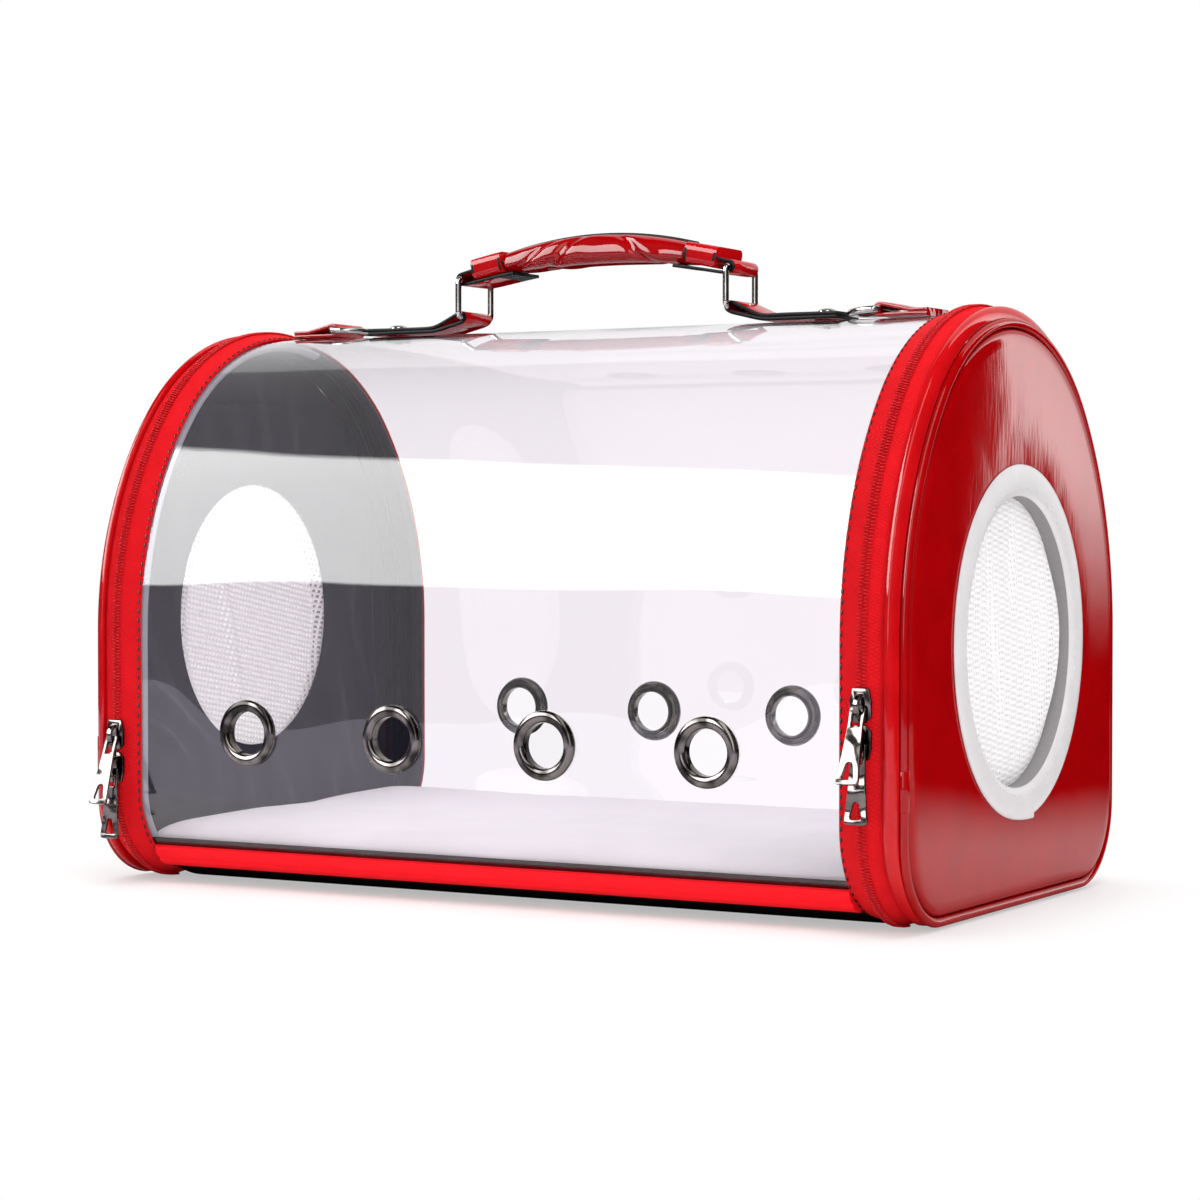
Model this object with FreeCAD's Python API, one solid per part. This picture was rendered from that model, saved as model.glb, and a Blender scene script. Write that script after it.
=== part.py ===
import FreeCAD, Part
import math
import os
from FreeCAD import Vector

# Clear-sided pet carrier. X runs along the body, the front wall is at -Y, Z is up and the floor is z = 0.
# All lengths are in millimetres. Offsets are measured outwards from the outer face of the clear sheet.

# Body section
clear_half_length = 180.0
half_width = 120.0
body_height = 260.0
spring_height = 119.0
flank_angle = 39.967
corner_radius = 40.0
ground_gap = 1.0

# Layers and clearances
sheet = 1.0
binding = 1.0
tape = 1.0
leather = 1.0
lining = 0.8
coil_height = 1.6
sewn_gap = 0.1
seat_gap = 0.3
running_gap = 0.4
overrun = 20.0

# End seams, from the edge of the clear sheet outwards
sheet_tuck = 5.0
binding_width = 5.5
zip_offset = 11.6
zip_gap = 1.2
coil_width = 2.0
tape_width = 10.2
gusset_overlap = 2.5
gusset_taper = 3.0
rim_offset = 26.5
rim_inset = 4.0
piping_radius = 2.2

# End panels
mesh_thickness = 0.8
panel_board = 1.6
panel_foam = 4.0
panel_skin = 1.2
panel_round = 3.4
panel_depth = 6.0
window_height = 117.0
window_half_width = 60.5
window_half_height = 65.0
trim_flange = 12.5
trim_wall = 1.2
mesh_margin = 4.0
net_pitch = 9.0
net_strand = 1.4

# Base and mat
band_low = 8.0
band_high = 17.5
band_thickness = 1.8
base_curve = 52.0
base_lip = 0.7
hem_height = 21.0
hem_tuck = 1.5
board_thickness = 2.8
board_end_gap = 3.0
mat_end_reach = 9.0
mat_side_gap = 16.0
mat_top = 25.0
mat_shoulder = 4.0
mat_corner = 26.0
mat_draw = 2.0
mat_foot_gap = 2.0
mat_crown_inset = 5.0

# Spring hoops
hoop_wire_radius = 1.5
sleeve_width = 6.0
sleeve_depth = 4.2
sleeve_inset = 1.0

# Eyelets
eyelet_count = 4
eyelet_pitch = 79.1
eyelet_height = 73.0
eyelet_bore_radius = 10.0
eyelet_wall = 0.8
eyelet_flange_radius = 15.25
eyelet_flange_height = 2.4
eyelet_roll = 0.8
washer_radius = 14.5
washer_thickness = 1.0

# Straps, wire rings and their tabs
wire_radius = 1.5
strap_width = 24.0
strap_thickness = 1.6
loop_clearance = 0.25
ring_share = 0.4
ring_rise = 18.0
ring_leg_gap = 1.0
ring_bend = 2.5
loop_lift = 4.0
tab_end_gap = 1.5
handle_tab_ramp = 18.0
rivet_inset = 10.0
rivet_radius = 1.6
rivet_head_radius = 4.6
rivet_head_height = 2.2
rivet_washer_radius = 6.0
rivet_washer = 1.2
d_ring_inset = 33.0
d_ring_depth = 18.0
d_ring_tab_length = 23.0
d_ring_ramp = 9.0
d_ring_droop = 3.0

# Handle
grip_rise = 11.35
grip_end_gap = 6.4
grip_half_width = 13.5
grip_half_depth = 7.0
grip_wall = 1.3
collar_length = 16.0
collar_gap = 0.6
collar_over = 4.5
collar_under = 3.5
collar_side = 0.9
tail_length = 29.0

# Zip sliders and pulls
slider_pitch = 15.0
right_slider_height = 95.0
left_slider_height = 70.0
slider_half_width = 4.8
slider_half_length = 7.0
slider_plate = 1.4
slider_web = 0.5
slider_nose = 2.4
crown_half_length = 5.0
crown_height = 4.6
crown_bar = 1.3
crown_width = 2.6
pull_thickness = 1.4
pull_bar = 1.6
pull_head_width = 7.0
pull_foot_width = 10.4
pull_length = 33.0
pull_slot_width = 3.6
pull_slot_length = 7.2
pull_hole_width = 5.6
pull_hole_length = 7.5
pull_foot_bar = 2.2
pull_drop = 1.0
upper_pull_lean = 20.0
lower_pull_lean = 4.0

# Levels of the sewn layers
binding_top = sewn_gap + binding
tape_low = binding_top + sewn_gap
tape_top = tape_low + tape
coil_low = tape_top + sewn_gap
coil_top = coil_low + coil_height
base_line = ground_gap + coil_top
corner_height = base_line + corner_radius
sill_half = half_width - corner_radius
lining_high = -(sheet + sewn_gap)
lining_low = lining_high - lining
mat_half_length = clear_half_length + mat_end_reach
mat_half_width = half_width - mat_side_gap

# Arch: the flank arc rises from the wall and runs into the crown arc at the flank angle
arch_rise = body_height - spring_height
flank_cos = math.cos(math.radians(flank_angle))
flank_sin = math.sin(math.radians(flank_angle))
arch_spread = flank_cos + flank_sin - 1
flank_radius = (arch_rise * flank_cos - half_width * (1 - flank_sin)) / arch_spread
crown_radius = (half_width * flank_sin - arch_rise * (1 - flank_cos)) / arch_spread

# Stations along the right end
zip_x = clear_half_length + zip_offset
door_tape_start = zip_x + zip_gap / 2
door_tape_end = door_tape_start + tape_width
body_tape_end = zip_x - zip_gap / 2
rim_x = clear_half_length + rim_offset
hinge_height = ground_gap + piping_radius
face_offset = -(rim_inset + piping_radius + sewn_gap)
face_floor = hinge_height + piping_radius + sewn_gap
lining_x = rim_x - panel_depth
mesh_x = lining_x + lining + sewn_gap
board_x = mesh_x + mesh_thickness + sewn_gap
foam_x = board_x + panel_board + sewn_gap
skin_x = foam_x + panel_foam + sewn_gap
trim_x = skin_x + panel_skin + sewn_gap

# Places of the wire rings and the handle
ring_x = ring_share * clear_half_length
d_ring_x = clear_half_length - d_ring_inset
handle_tab_length = d_ring_x - d_ring_depth - wire_radius - tab_end_gap - ring_x
grip_half_length = ring_x - grip_end_gap - collar_length - collar_gap
strap_floor = body_height + seat_gap
flat_bar_height = strap_floor + strap_thickness + loop_clearance + wire_radius
ring_low = flat_bar_height + loop_lift
ring_high = ring_low + ring_rise
grip_height = ring_high + grip_rise
loop_radius = wire_radius + loop_clearance
loop_outer = loop_radius + strap_thickness
handle_rise = grip_height - ring_high - loop_radius - strap_thickness / 2
handle_radius = (ring_x ** 2 + handle_rise ** 2) / (2 * handle_rise)
handle_centre = grip_height - handle_radius

ALONG_X = Vector(1, 0, 0)
ALONG_Y = Vector(0, 1, 0)
ALONG_Z = Vector(0, 0, 1)


def line(start, end):
    return Part.LineSegment(start, end).toShape()


def arc_about(centre, radius, start, end, place):
    """Arc in a plane, from one angle to another in degrees; place turns two coordinates into a point."""
    points = []
    for angle in (start, (start + end) / 2, end):
        turn = math.radians(angle)
        points.append(place(centre[0] + radius * math.cos(turn), centre[1] + radius * math.sin(turn)))
    return Part.Arc(*points).toShape()


def box(x_low, x_high, y_low, y_high, z_low, z_high):
    return Part.makeBox(x_high - x_low, y_high - y_low, z_high - z_low, Vector(x_low, y_low, z_low))


def mirrored(shape):
    return shape.mirror(Vector(0, 0, 0), ALONG_X)


def outline(offset, x=0, floor=None):
    """Closed section of the body: flat floor, round corners, upright walls, flank arcs and a crown arc."""
    bottom = base_line - offset if floor is None else floor
    corner = corner_radius + offset

    def place(y, z):
        return Vector(x, y, z)

    wall = half_width + offset
    flank = flank_radius + offset
    flank_middle = half_width - flank_radius
    far_side = 180 - flank_angle
    edges = [
        line(place(-sill_half, bottom), place(sill_half, bottom)),
        arc_about((sill_half, bottom + corner), corner, -90, 0, place),
        line(place(wall, bottom + corner), place(wall, spring_height)),
        arc_about((flank_middle, spring_height), flank, 0, flank_angle, place),
        arc_about((0, body_height - crown_radius), crown_radius + offset, flank_angle, far_side, place),
        arc_about((-flank_middle, spring_height), flank, far_side, 180, place),
        line(place(-wall, spring_height), place(-wall, bottom + corner)),
        arc_about((-sill_half, bottom + corner), corner, 180, 270, place),
    ]
    return Part.Wire(edges)


def plate(offset, x_low, x_high, floor=None):
    return Part.Face(outline(offset, x_low, floor)).extrude(Vector(x_high - x_low, 0, 0))


def ring(outer, inner, x_low, x_high):
    """Closed band of cloth between two offsets of the section."""
    return plate(outer, x_low, x_high).cut(plate(inner, x_low, x_high))


def inner_half_width(height, offset):
    """Half width of the section at a height within its bottom corner."""
    drop = corner_height - height
    return sill_half + math.sqrt((corner_radius + offset) ** 2 - drop ** 2)


def sill_box(half):
    return box(-2 * rim_x, 2 * rim_x, -half, half, -overrun, corner_height)


def above(height):
    return box(-2 * rim_x, 2 * rim_x, -2 * half_width, 2 * half_width, height, 2 * body_height)


def below(height):
    return box(-2 * rim_x, 2 * rim_x, -2 * half_width, 2 * half_width, -overrun, height)


def open_at_sill(shape):
    """End seams run round the arch and the corners and stop at the sill strip."""
    return shape.cut(sill_box(sill_half + running_gap))


def hoop_pipe(offset, x, radius, floor=None):
    """Round bead along the closed section."""
    path = outline(offset, x, floor)
    start = path.OrderedEdges[0].valueAt(path.OrderedEdges[0].FirstParameter)
    profile = Part.Wire([Part.Circle(start, ALONG_Y, radius).toShape()])
    return path.makePipeShell([profile], True, False)


def ellipse_wire(centre, half_y, half_z):
    """Ellipse across X, with its longer axis found from the two half sizes."""
    along_y = centre + ALONG_Y * half_y
    along_z = centre + ALONG_Z * half_z
    ends = (along_z, along_y) if half_z >= half_y else (along_y, along_z)
    return Part.Wire([Part.Ellipse(ends[0], ends[1], centre).toShape()])


def window_wire(growth, x):
    """Outline of the window's oval, grown all round by one distance."""
    return ellipse_wire(Vector(x, 0, window_height), window_half_width + growth, window_half_height + growth)


def oval(growth, x_low, x_high):
    return Part.Face(window_wire(growth, x_low)).extrude(Vector(x_high - x_low, 0, 0))


def window_cut():
    return oval(0, lining_x - overrun, trim_x + overrun)


# Body pieces

def eyelet_places():
    for index in range(eyelet_count):
        x = (index - (eyelet_count - 1) / 2) * eyelet_pitch
        for side in (-1, 1):
            yield x, side


def wall_cylinder(x, side, radius, low, high):
    """Cylinder through a wall, between two offsets from the outer face of the sheet."""
    start = Vector(x, side * (half_width + low), eyelet_height)
    return Part.makeCylinder(radius, high - low, start, Vector(0, side, 0))


def rivet_places():
    for side in (-1, 1):
        yield side * (ring_x + handle_tab_length - rivet_inset)


def rivet_hole(x):
    low = Vector(x, 0, body_height - overrun)
    return Part.makeCylinder(rivet_radius + sewn_gap, 2 * overrun, low, ALONG_Z)


def clear_canopy():
    end = clear_half_length + sheet_tuck
    shape = ring(0, -sheet, -end, end).common(above(band_low + hem_tuck))
    hole = eyelet_bore_radius + eyelet_wall + sewn_gap
    for x, side in eyelet_places():
        shape = shape.cut(wall_cylinder(x, side, hole, -overrun, overrun))
    for x in rivet_places():
        shape = shape.cut(rivet_hole(x))
    return shape


def base_cover():
    """Black cover under the floor: flat where it stands, curved up to the lower edge of the bands."""
    end = clear_half_length - sewn_gap
    lip_height = band_low - sewn_gap
    lip = inner_half_width(lip_height, sewn_gap) + base_lip
    flat = lip - math.sqrt(base_curve ** 2 - (base_curve - lip_height) ** 2)
    tilt = math.degrees(math.asin((base_curve - lip_height) / base_curve))

    def place(y, z):
        return Vector(-end, y, z)

    wire = Part.Wire([
        line(place(-flat, 0), place(flat, 0)),
        arc_about((flat, base_curve), base_curve, -90, -tilt, place),
        line(place(lip, lip_height), place(-lip, lip_height)),
        arc_about((-flat, base_curve), base_curve, 180 + tilt, 270, place),
    ])
    shape = Part.Face(wire).extrude(Vector(2 * end, 0, 0))
    return shape.cut(plate(sewn_gap, -end - overrun, end + overrun))


def base_bands():
    """Red bands round the lower front and rear edges of the sheet."""
    end = clear_half_length - sewn_gap
    strip = ring(sewn_gap + band_thickness, sewn_gap, -end, end)
    return strip.common(above(band_low)).common(below(band_high))


def base_lining():
    end = clear_half_length + sheet_tuck
    return ring(lining_high, lining_low, -end, end).common(below(hem_height))


def board_floor():
    return base_line - lining_low + sewn_gap


def base_board():
    low = board_floor()
    half = inner_half_width(low, lining_low) - sewn_gap
    end = clear_half_length + sheet_tuck - board_end_gap
    return box(-end, end, -half, half, low, low + board_thickness)


def mat_section(half_length, half_depth, corner, draw, height):
    """Rounded rectangle whose long sides draw in towards the middle."""
    def place(x, y):
        return Vector(x, y, height)

    flat_x = half_length - corner
    flat_y = half_depth - corner
    edges = []
    for turn, (sx, sy) in enumerate(((1, -1), (1, 1), (-1, 1), (-1, -1))):
        start = -90 + 90 * turn
        edges.append(arc_about((sx * flat_x, sy * flat_y), corner, start, start + 90, place))
        if turn == 0:
            ends = (place(half_length, -flat_y), place(half_length - draw, 0), place(half_length, flat_y))
        elif turn == 1:
            ends = (place(flat_x, half_depth), place(0, half_depth - draw), place(-flat_x, half_depth))
        elif turn == 2:
            ends = (place(-half_length, flat_y), place(draw - half_length, 0), place(-half_length, -flat_y))
        else:
            ends = (place(-flat_x, -half_depth), place(0, draw - half_depth), place(flat_x, -half_depth))
        edges.append(Part.Arc(*ends).toShape())
    return Part.Wire(edges)


def floor_mat():
    """Soft mat: drawn-in sides, a shoulder and a flat crown."""
    low = board_floor() + board_thickness + seat_gap
    foot = inner_half_width(low, lining_low) - mat_foot_gap
    lean = mat_half_width - foot
    sections = [
        mat_section(mat_half_length - lean, foot, mat_corner, mat_draw, low),
        mat_section(mat_half_length, mat_half_width, mat_corner, mat_draw, mat_top - mat_shoulder),
        mat_section(mat_half_length - mat_crown_inset, mat_half_width - mat_crown_inset,
                    mat_corner, mat_draw, mat_top),
    ]
    return Part.makeLoft(sections, True, True)


def edge_binding():
    return ring(binding_top, sewn_gap, clear_half_length, clear_half_length + binding_width)


def hoop_offset():
    return lining_high - sleeve_depth / 2


def hoop_station():
    return clear_half_length + sheet_tuck - sleeve_width / 2


def hoop_wire():
    pipe = hoop_pipe(hoop_offset(), hoop_station(), hoop_wire_radius)
    return pipe.common(above(hem_height + sleeve_inset))


def hoop_sleeve():
    end = clear_half_length + sheet_tuck
    shape = ring(lining_high, lining_high - sleeve_depth, end - sleeve_width, end)
    channel = hoop_pipe(hoop_offset(), hoop_station(), hoop_wire_radius + sewn_gap)
    return shape.cut(channel).common(above(hem_height + sewn_gap))


def body_tape():
    return open_at_sill(ring(tape_top, tape_low, body_tape_end - tape_width, body_tape_end))


def body_coil():
    return open_at_sill(ring(coil_top, coil_low, body_tape_end - coil_width, body_tape_end))


def sill():
    """Strip under the end, from the edge binding to the hinge line of the end panel."""
    end = rim_x - piping_radius - running_gap
    shape = ring(tape_top, tape_low, body_tape_end - tape_width, end)
    return shape.common(sill_box(sill_half))


def revolved(points, axis_point, axis):
    """Solid of revolution from a list of corners; a corner given as a pair is an arc's middle and end."""
    edges = []
    last = points[0]
    for item in points[1:]:
        if isinstance(item, tuple):
            edges.append(Part.Arc(last, item[0], item[1]).toShape())
            last = item[1]
        else:
            edges.append(line(last, item))
            last = item
    edges.append(line(last, points[0]))
    return Part.Face(Part.Wire(edges)).revolve(axis_point, axis, 360)


def eyelet(x, side):
    """Domed flange outside and a barrel through the sheet, rolled over the washer inside."""
    bore = eyelet_bore_radius
    barrel = bore + eyelet_wall
    inner_end = -(sheet + 2 * sewn_gap + washer_thickness + eyelet_roll)
    crest = (bore + eyelet_flange_radius) / 2
    half_rise = eyelet_flange_height / 2

    def place(radius, rise):
        return Vector(x + radius, side * (half_width + rise), eyelet_height)

    quarter = (crest - bore) * math.sqrt(0.5)
    shoulder = half_rise + half_rise * math.sqrt(0.5)
    points = [
        place(bore, inner_end),
        place(bore, half_rise),
        (place(crest - quarter, shoulder), place(crest, eyelet_flange_height)),
        (place(crest + quarter, shoulder), place(eyelet_flange_radius, half_rise)),
        place(eyelet_flange_radius, sewn_gap),
        place(barrel, sewn_gap),
        place(barrel, inner_end),
    ]
    return revolved(points, Vector(x, 0, eyelet_height), ALONG_Y)


def eyelets():
    return Part.makeCompound([eyelet(x, side) for x, side in eyelet_places()])


def eyelet_washers():
    rings = []
    high = -(sheet + sewn_gap)
    hole = eyelet_bore_radius + eyelet_wall + sewn_gap
    for x, side in eyelet_places():
        disc = wall_cylinder(x, side, washer_radius, high - washer_thickness, high)
        rings.append(disc.cut(wall_cylinder(x, side, hole, -overrun, overrun)))
    return Part.makeCompound(rings)


# Straps and wire rings

def strap_tab(bar_x, bar_height, ramp, length):
    """Folded strap on the crown of the sheet: a loop round a bar, a ramp and a flat stitched end."""
    def place(x, z):
        return Vector(x, -strap_width / 2, z)

    flat_top = strap_floor + 2 * strap_thickness
    wire = Part.makePolygon([
        place(bar_x, bar_height - loop_outer),
        place(bar_x + ramp, strap_floor),
        place(bar_x + length, strap_floor),
        place(bar_x + length, flat_top),
        place(bar_x + ramp, flat_top),
        place(bar_x, bar_height + loop_outer),
        place(bar_x, bar_height - loop_outer),
    ])
    depth = Vector(0, strap_width, 0)
    centre = place(bar_x, bar_height)
    shape = Part.Face(wire).extrude(depth)
    shape = shape.fuse(Part.makeCylinder(loop_outer, strap_width, centre, ALONG_Y))
    return shape.cut(Part.makeCylinder(loop_radius, strap_width, centre, ALONG_Y)).removeSplitter()


def handle_tab():
    tab = strap_tab(ring_x, ring_low, handle_tab_ramp, handle_tab_length)
    return tab.cut(rivet_hole(ring_x + handle_tab_length - rivet_inset))


def d_ring_tab():
    return strap_tab(d_ring_x, flat_bar_height, d_ring_ramp, d_ring_tab_length)


def washer_top():
    """Height of a flat washer whose rim just clears the arched inside of the sheet."""
    inside = crown_radius - sheet
    return body_height - crown_radius + math.sqrt(inside ** 2 - rivet_washer_radius ** 2) - sewn_gap


def rivet(x):
    """Domed head on the strap and a shank through to the washer inside."""
    head = strap_floor + 2 * strap_thickness + sewn_gap
    foot = washer_top() - rivet_washer

    def place(radius, z):
        return Vector(x + radius, 0, z)

    dome = (rivet_head_radius ** 2 + rivet_head_height ** 2) / (2 * rivet_head_height)
    half_turn = math.asin(rivet_head_radius / dome) / 2
    middle = place(dome * math.sin(half_turn), head + rivet_head_height - dome * (1 - math.cos(half_turn)))
    points = [
        place(0, foot),
        place(rivet_radius, foot),
        place(rivet_radius, head),
        place(rivet_head_radius, head),
        (middle, place(0, head + rivet_head_height)),
    ]
    return revolved(points, Vector(x, 0, 0), ALONG_Z)


def tab_rivets():
    return Part.makeCompound([rivet(x) for x in rivet_places()])


def rivet_washers():
    discs = []
    low = washer_top() - rivet_washer
    for x in rivet_places():
        disc = Part.makeCylinder(rivet_washer_radius, rivet_washer, Vector(x, 0, low), ALONG_Z)
        discs.append(disc.cut(rivet_hole(x)))
    return Part.makeCompound(discs)


def leg_half_width():
    return strap_width / 2 + ring_leg_gap + wire_radius


def wire_pipe(edges):
    """Round wire along a closed path that starts on a straight bar along Y."""
    path = Part.Wire(edges)
    start = edges[0].valueAt(edges[0].FirstParameter)
    profile = Part.Wire([Part.Circle(start, ALONG_Y, wire_radius).toShape()])
    return path.makePipeShell([profile], True, False)


def handle_ring():
    """Upright rectangular wire ring between the base tab and the handle strap."""
    half = leg_half_width()
    flat = half - ring_bend

    def place(y, z):
        return Vector(ring_x, y, z)

    low = ring_low + ring_bend
    high = ring_high - ring_bend
    return wire_pipe([
        line(place(-flat, ring_low), place(flat, ring_low)),
        arc_about((flat, low), ring_bend, -90, 0, place),
        line(place(half, low), place(half, high)),
        arc_about((flat, high), ring_bend, 0, 90, place),
        line(place(flat, ring_high), place(-flat, ring_high)),
        arc_about((-flat, high), ring_bend, 90, 180, place),
        line(place(-half, high), place(-half, low)),
        arc_about((-flat, low), ring_bend, 180, 270, place),
    ])


def d_ring():
    """D-shaped wire ring that lies on the crown, bow towards the handle."""
    half = leg_half_width()
    flat = half - ring_bend
    bow = d_ring_depth - half

    def place(reach, y):
        return Vector(d_ring_x - reach, y, flat_bar_height)

    ring_shape = wire_pipe([
        line(place(0, -flat), place(0, flat)),
        arc_about((ring_bend, flat), ring_bend, 180, 90, place),
        line(place(ring_bend, half), place(bow, half)),
        arc_about((bow, 0), half, 90, 0, place),
        arc_about((bow, 0), half, 0, -90, place),
        line(place(bow, -half), place(ring_bend, -half)),
        arc_about((ring_bend, -flat), ring_bend, -90, -180, place),
    ])
    ring_shape.rotate(Vector(d_ring_x, 0, flat_bar_height), ALONG_Y, -d_ring_droop)
    return ring_shape


# Handle

def handle_angle(x):
    """Angle of a place along the handle, from the top of its arc, in degrees."""
    return math.degrees(math.asin(x / handle_radius))


def handle_sector(profile, start, end):
    """Turn a profile drawn at the top of the handle's arc from one place along X to another."""
    centre = Vector(0, 0, handle_centre)
    shape = profile.copy()
    shape.rotate(centre, ALONG_Y, handle_angle(start))
    return shape.revolve(centre, ALONG_Y, handle_angle(end) - handle_angle(start))


def strap_face(half_wide, under, over):
    def place(y, rise):
        return Vector(0, y, grip_height + rise)

    corners = [place(-half_wide, -under), place(half_wide, -under)]
    corners += [place(half_wide, over), place(-half_wide, over)]
    return Part.Face(Part.makePolygon(corners + corners[:1]))


def grip_face(shrink):
    centre = Vector(0, 0, grip_height)
    return Part.Face(ellipse_wire(centre, grip_half_width - shrink, grip_half_depth - shrink))


def handle_strap():
    """Strap along the arc, with a loop and a folded tail at each end."""
    half_strap = strap_thickness / 2
    shape = handle_sector(strap_face(strap_width / 2, half_strap, half_strap), -ring_x, ring_x)
    tail_top = ring_high - loop_radius
    loops = []
    holes = []
    for side in (-1, 1):
        centre = Vector(side * ring_x, -strap_width / 2, ring_high)
        loops.append(Part.makeCylinder(loop_outer, strap_width, centre, ALONG_Y))
        holes.append(Part.makeCylinder(loop_radius, strap_width, centre, ALONG_Y))
        ends = sorted((side * ring_x, side * (ring_x - tail_length)))
        tail = box(ends[0], ends[1], -strap_width / 2, strap_width / 2, tail_top - strap_thickness, tail_top)
        loops.append(tail)
    shape = shape.fuse(loops)
    return shape.cut(Part.makeCompound(holes)).removeSplitter()


def strap_slot():
    half = strap_thickness / 2 + sewn_gap
    return strap_face(strap_width / 2 + sewn_gap, half, half)


def handle_core():
    profile = grip_face(grip_wall + sewn_gap).cut(strap_slot())
    halves = [handle_sector(face, -grip_half_length, grip_half_length) for face in profile.Faces]
    return Part.makeCompound(halves)


def handle_grip():
    profile = grip_face(0).cut(grip_face(grip_wall))
    return handle_sector(profile.Faces[0], -grip_half_length, grip_half_length)


def handle_collars():
    profile = strap_face(strap_width / 2 + collar_side, collar_under, collar_over).cut(strap_slot())
    near = grip_half_length + collar_gap
    far = near + collar_length
    return Part.makeCompound([
        handle_sector(profile.Faces[0], near, far),
        handle_sector(profile.Faces[0], -far, -near),
    ])


# End panels

def rim_piping():
    return hoop_pipe(-rim_inset, rim_x, piping_radius, hinge_height)


def door_tape():
    return open_at_sill(ring(tape_top, tape_low, door_tape_start, door_tape_end))


def door_coil():
    return open_at_sill(ring(coil_top, coil_low, door_tape_start, door_tape_start + coil_width))


def door_gusset():
    """Patent strip sewn on the door's zip tape, which leans in to the rim piping."""
    top = coil_low + leather
    start = door_tape_end - gusset_overlap
    turn = door_tape_end + sewn_gap
    end = turn + gusset_taper
    inner_end = piping_radius + sewn_gap - rim_inset
    drop = top - inner_end
    depth = leather * math.hypot(1, drop / gusset_taper)
    floor = base_line - top

    def lean(shift):
        near = outline(top - shift, turn, floor + shift)
        far = outline(inner_end + depth - shift, end, floor + shift)
        return Part.makeLoft([near, far], True, True)

    taper = lean(0).cut(lean(depth))
    channel = hoop_pipe(-rim_inset, rim_x, piping_radius + sewn_gap, hinge_height)
    strip = ring(top, coil_low, start, turn).fuse(taper).removeSplitter()
    return open_at_sill(strip.cut(channel))


def face_lining():
    return plate(face_offset, lining_x, lining_x + lining, face_floor).cut(window_cut())


def face_board():
    return plate(face_offset, board_x, board_x + panel_board, face_floor).cut(window_cut())


def rounded_plate(inset, x_low, x_high, radius):
    shape = plate(face_offset - inset, x_low, x_high, face_floor + inset)
    edges = [edge for edge in shape.Edges if min(v.X for v in edge.Vertexes) > x_high - sewn_gap]
    return shape.makeFillet(radius, edges)


def face_foam():
    wrap = panel_skin + sewn_gap
    shape = rounded_plate(wrap, foam_x, foam_x + panel_foam, panel_round - wrap)
    return shape.cut(window_cut())


def face_skin():
    """Padded patent face: a rounded cover over the foam."""
    shape = rounded_plate(0, foam_x, skin_x + panel_skin, panel_round)
    hollow = rounded_plate(panel_skin, foam_x - overrun, skin_x, panel_round - panel_skin)
    return shape.cut(hollow).cut(window_cut())


def window_trim():
    """Flange on the face and a sleeve through the panel to the mesh."""
    low = mesh_x + mesh_thickness + sewn_gap
    flange = oval(trim_flange, trim_x, trim_x + trim_wall)
    sleeve = oval(-sewn_gap, low, trim_x + trim_wall)
    bore = oval(-sewn_gap - trim_wall, low - overrun, trim_x + overrun)
    return flange.fuse(sleeve).cut(bore).removeSplitter()


def window_mesh():
    """Net of diamonds, clamped between the lining and the board."""
    margin = mesh_margin + net_pitch
    wires = [window_wire(mesh_margin, mesh_x)]
    reach = net_pitch / 2 - net_strand * math.sqrt(0.5)
    rows = int(2 * (window_half_height + margin) / net_pitch)
    columns = int((window_half_width + margin) / net_pitch)
    for row in range(-rows, rows + 1):
        shift = 0.5 * (row % 2)
        z = row * net_pitch / 2
        for column in range(-columns - 1, columns + 1):
            y = (column + shift) * net_pitch
            far = math.hypot(abs(y) / (window_half_width - reach), abs(z) / (window_half_height - reach))
            if far > 1:
                continue
            corners = [(y + reach, z), (y, z + reach), (y - reach, z), (y, z - reach)]
            points = [Vector(mesh_x, a, window_height + b) for a, b in corners]
            wires.append(Part.makePolygon(points + points[:1]))
    print("net gaps", len(wires) - 1)
    face = Part.makeFace(Part.makeCompound(wires), "Part::FaceMakerBullseye")
    return face.extrude(Vector(mesh_thickness, 0, 0))


# Zip sliders and pulls, drawn on the front of the right end

def slider_offsets():
    low = tape_low - running_gap
    high = coil_top + running_gap
    return low, high


def slider_plate_solid(low, height, nose):
    """Rounded plate against the front wall; the nose end, towards the open chain, is the wider one."""
    half = slider_half_width
    tail = half - slider_nose / 2
    wide = height + nose * slider_half_length
    narrow = height - nose * slider_half_length
    bend = nose * slider_nose
    y = -(half_width + low)
    corners = [(tail, narrow), (half, narrow + 2 * bend), (half, wide - bend), (half - slider_nose, wide),
               (slider_nose - half, wide), (-half, wide - bend), (-half, narrow + 2 * bend), (-tail, narrow)]
    points = [Vector(zip_x + a, y, b) for a, b in corners]
    face = Part.Face(Part.makePolygon(points + points[:1]))
    return face.extrude(Vector(0, -slider_plate, 0))


def crown_face(half_length, rise, height, base):
    def place(z, out):
        return Vector(zip_x - crown_width / 2, -(half_width + base + out), height + z)

    over = Part.Arc(place(-half_length, 0), place(0, rise), place(half_length, 0)).toShape()
    return Part.Face(Part.Wire([over, line(place(half_length, 0), place(-half_length, 0))]))


def slider(height, nose):
    """Two plates, the web between the coils, and the crown that carries the pull."""
    low, high = slider_offsets()
    shape = slider_plate_solid(high, height, nose)
    shape = shape.fuse(slider_plate_solid(low - slider_plate, height, nose))
    web_low = height - slider_half_length / 2
    web = box(zip_x - slider_web / 2, zip_x + slider_web / 2, -(half_width + high), -(half_width + low),
              web_low, web_low + slider_half_length)
    base = high + slider_plate
    depth = Vector(crown_width, 0, 0)
    crown = crown_face(crown_half_length, crown_height, height, base).extrude(depth)
    eye = crown_face(crown_half_length - crown_bar, crown_height - crown_bar, height, base).extrude(depth)
    return shape.fuse([web, crown.cut(eye)]).removeSplitter()


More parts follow.
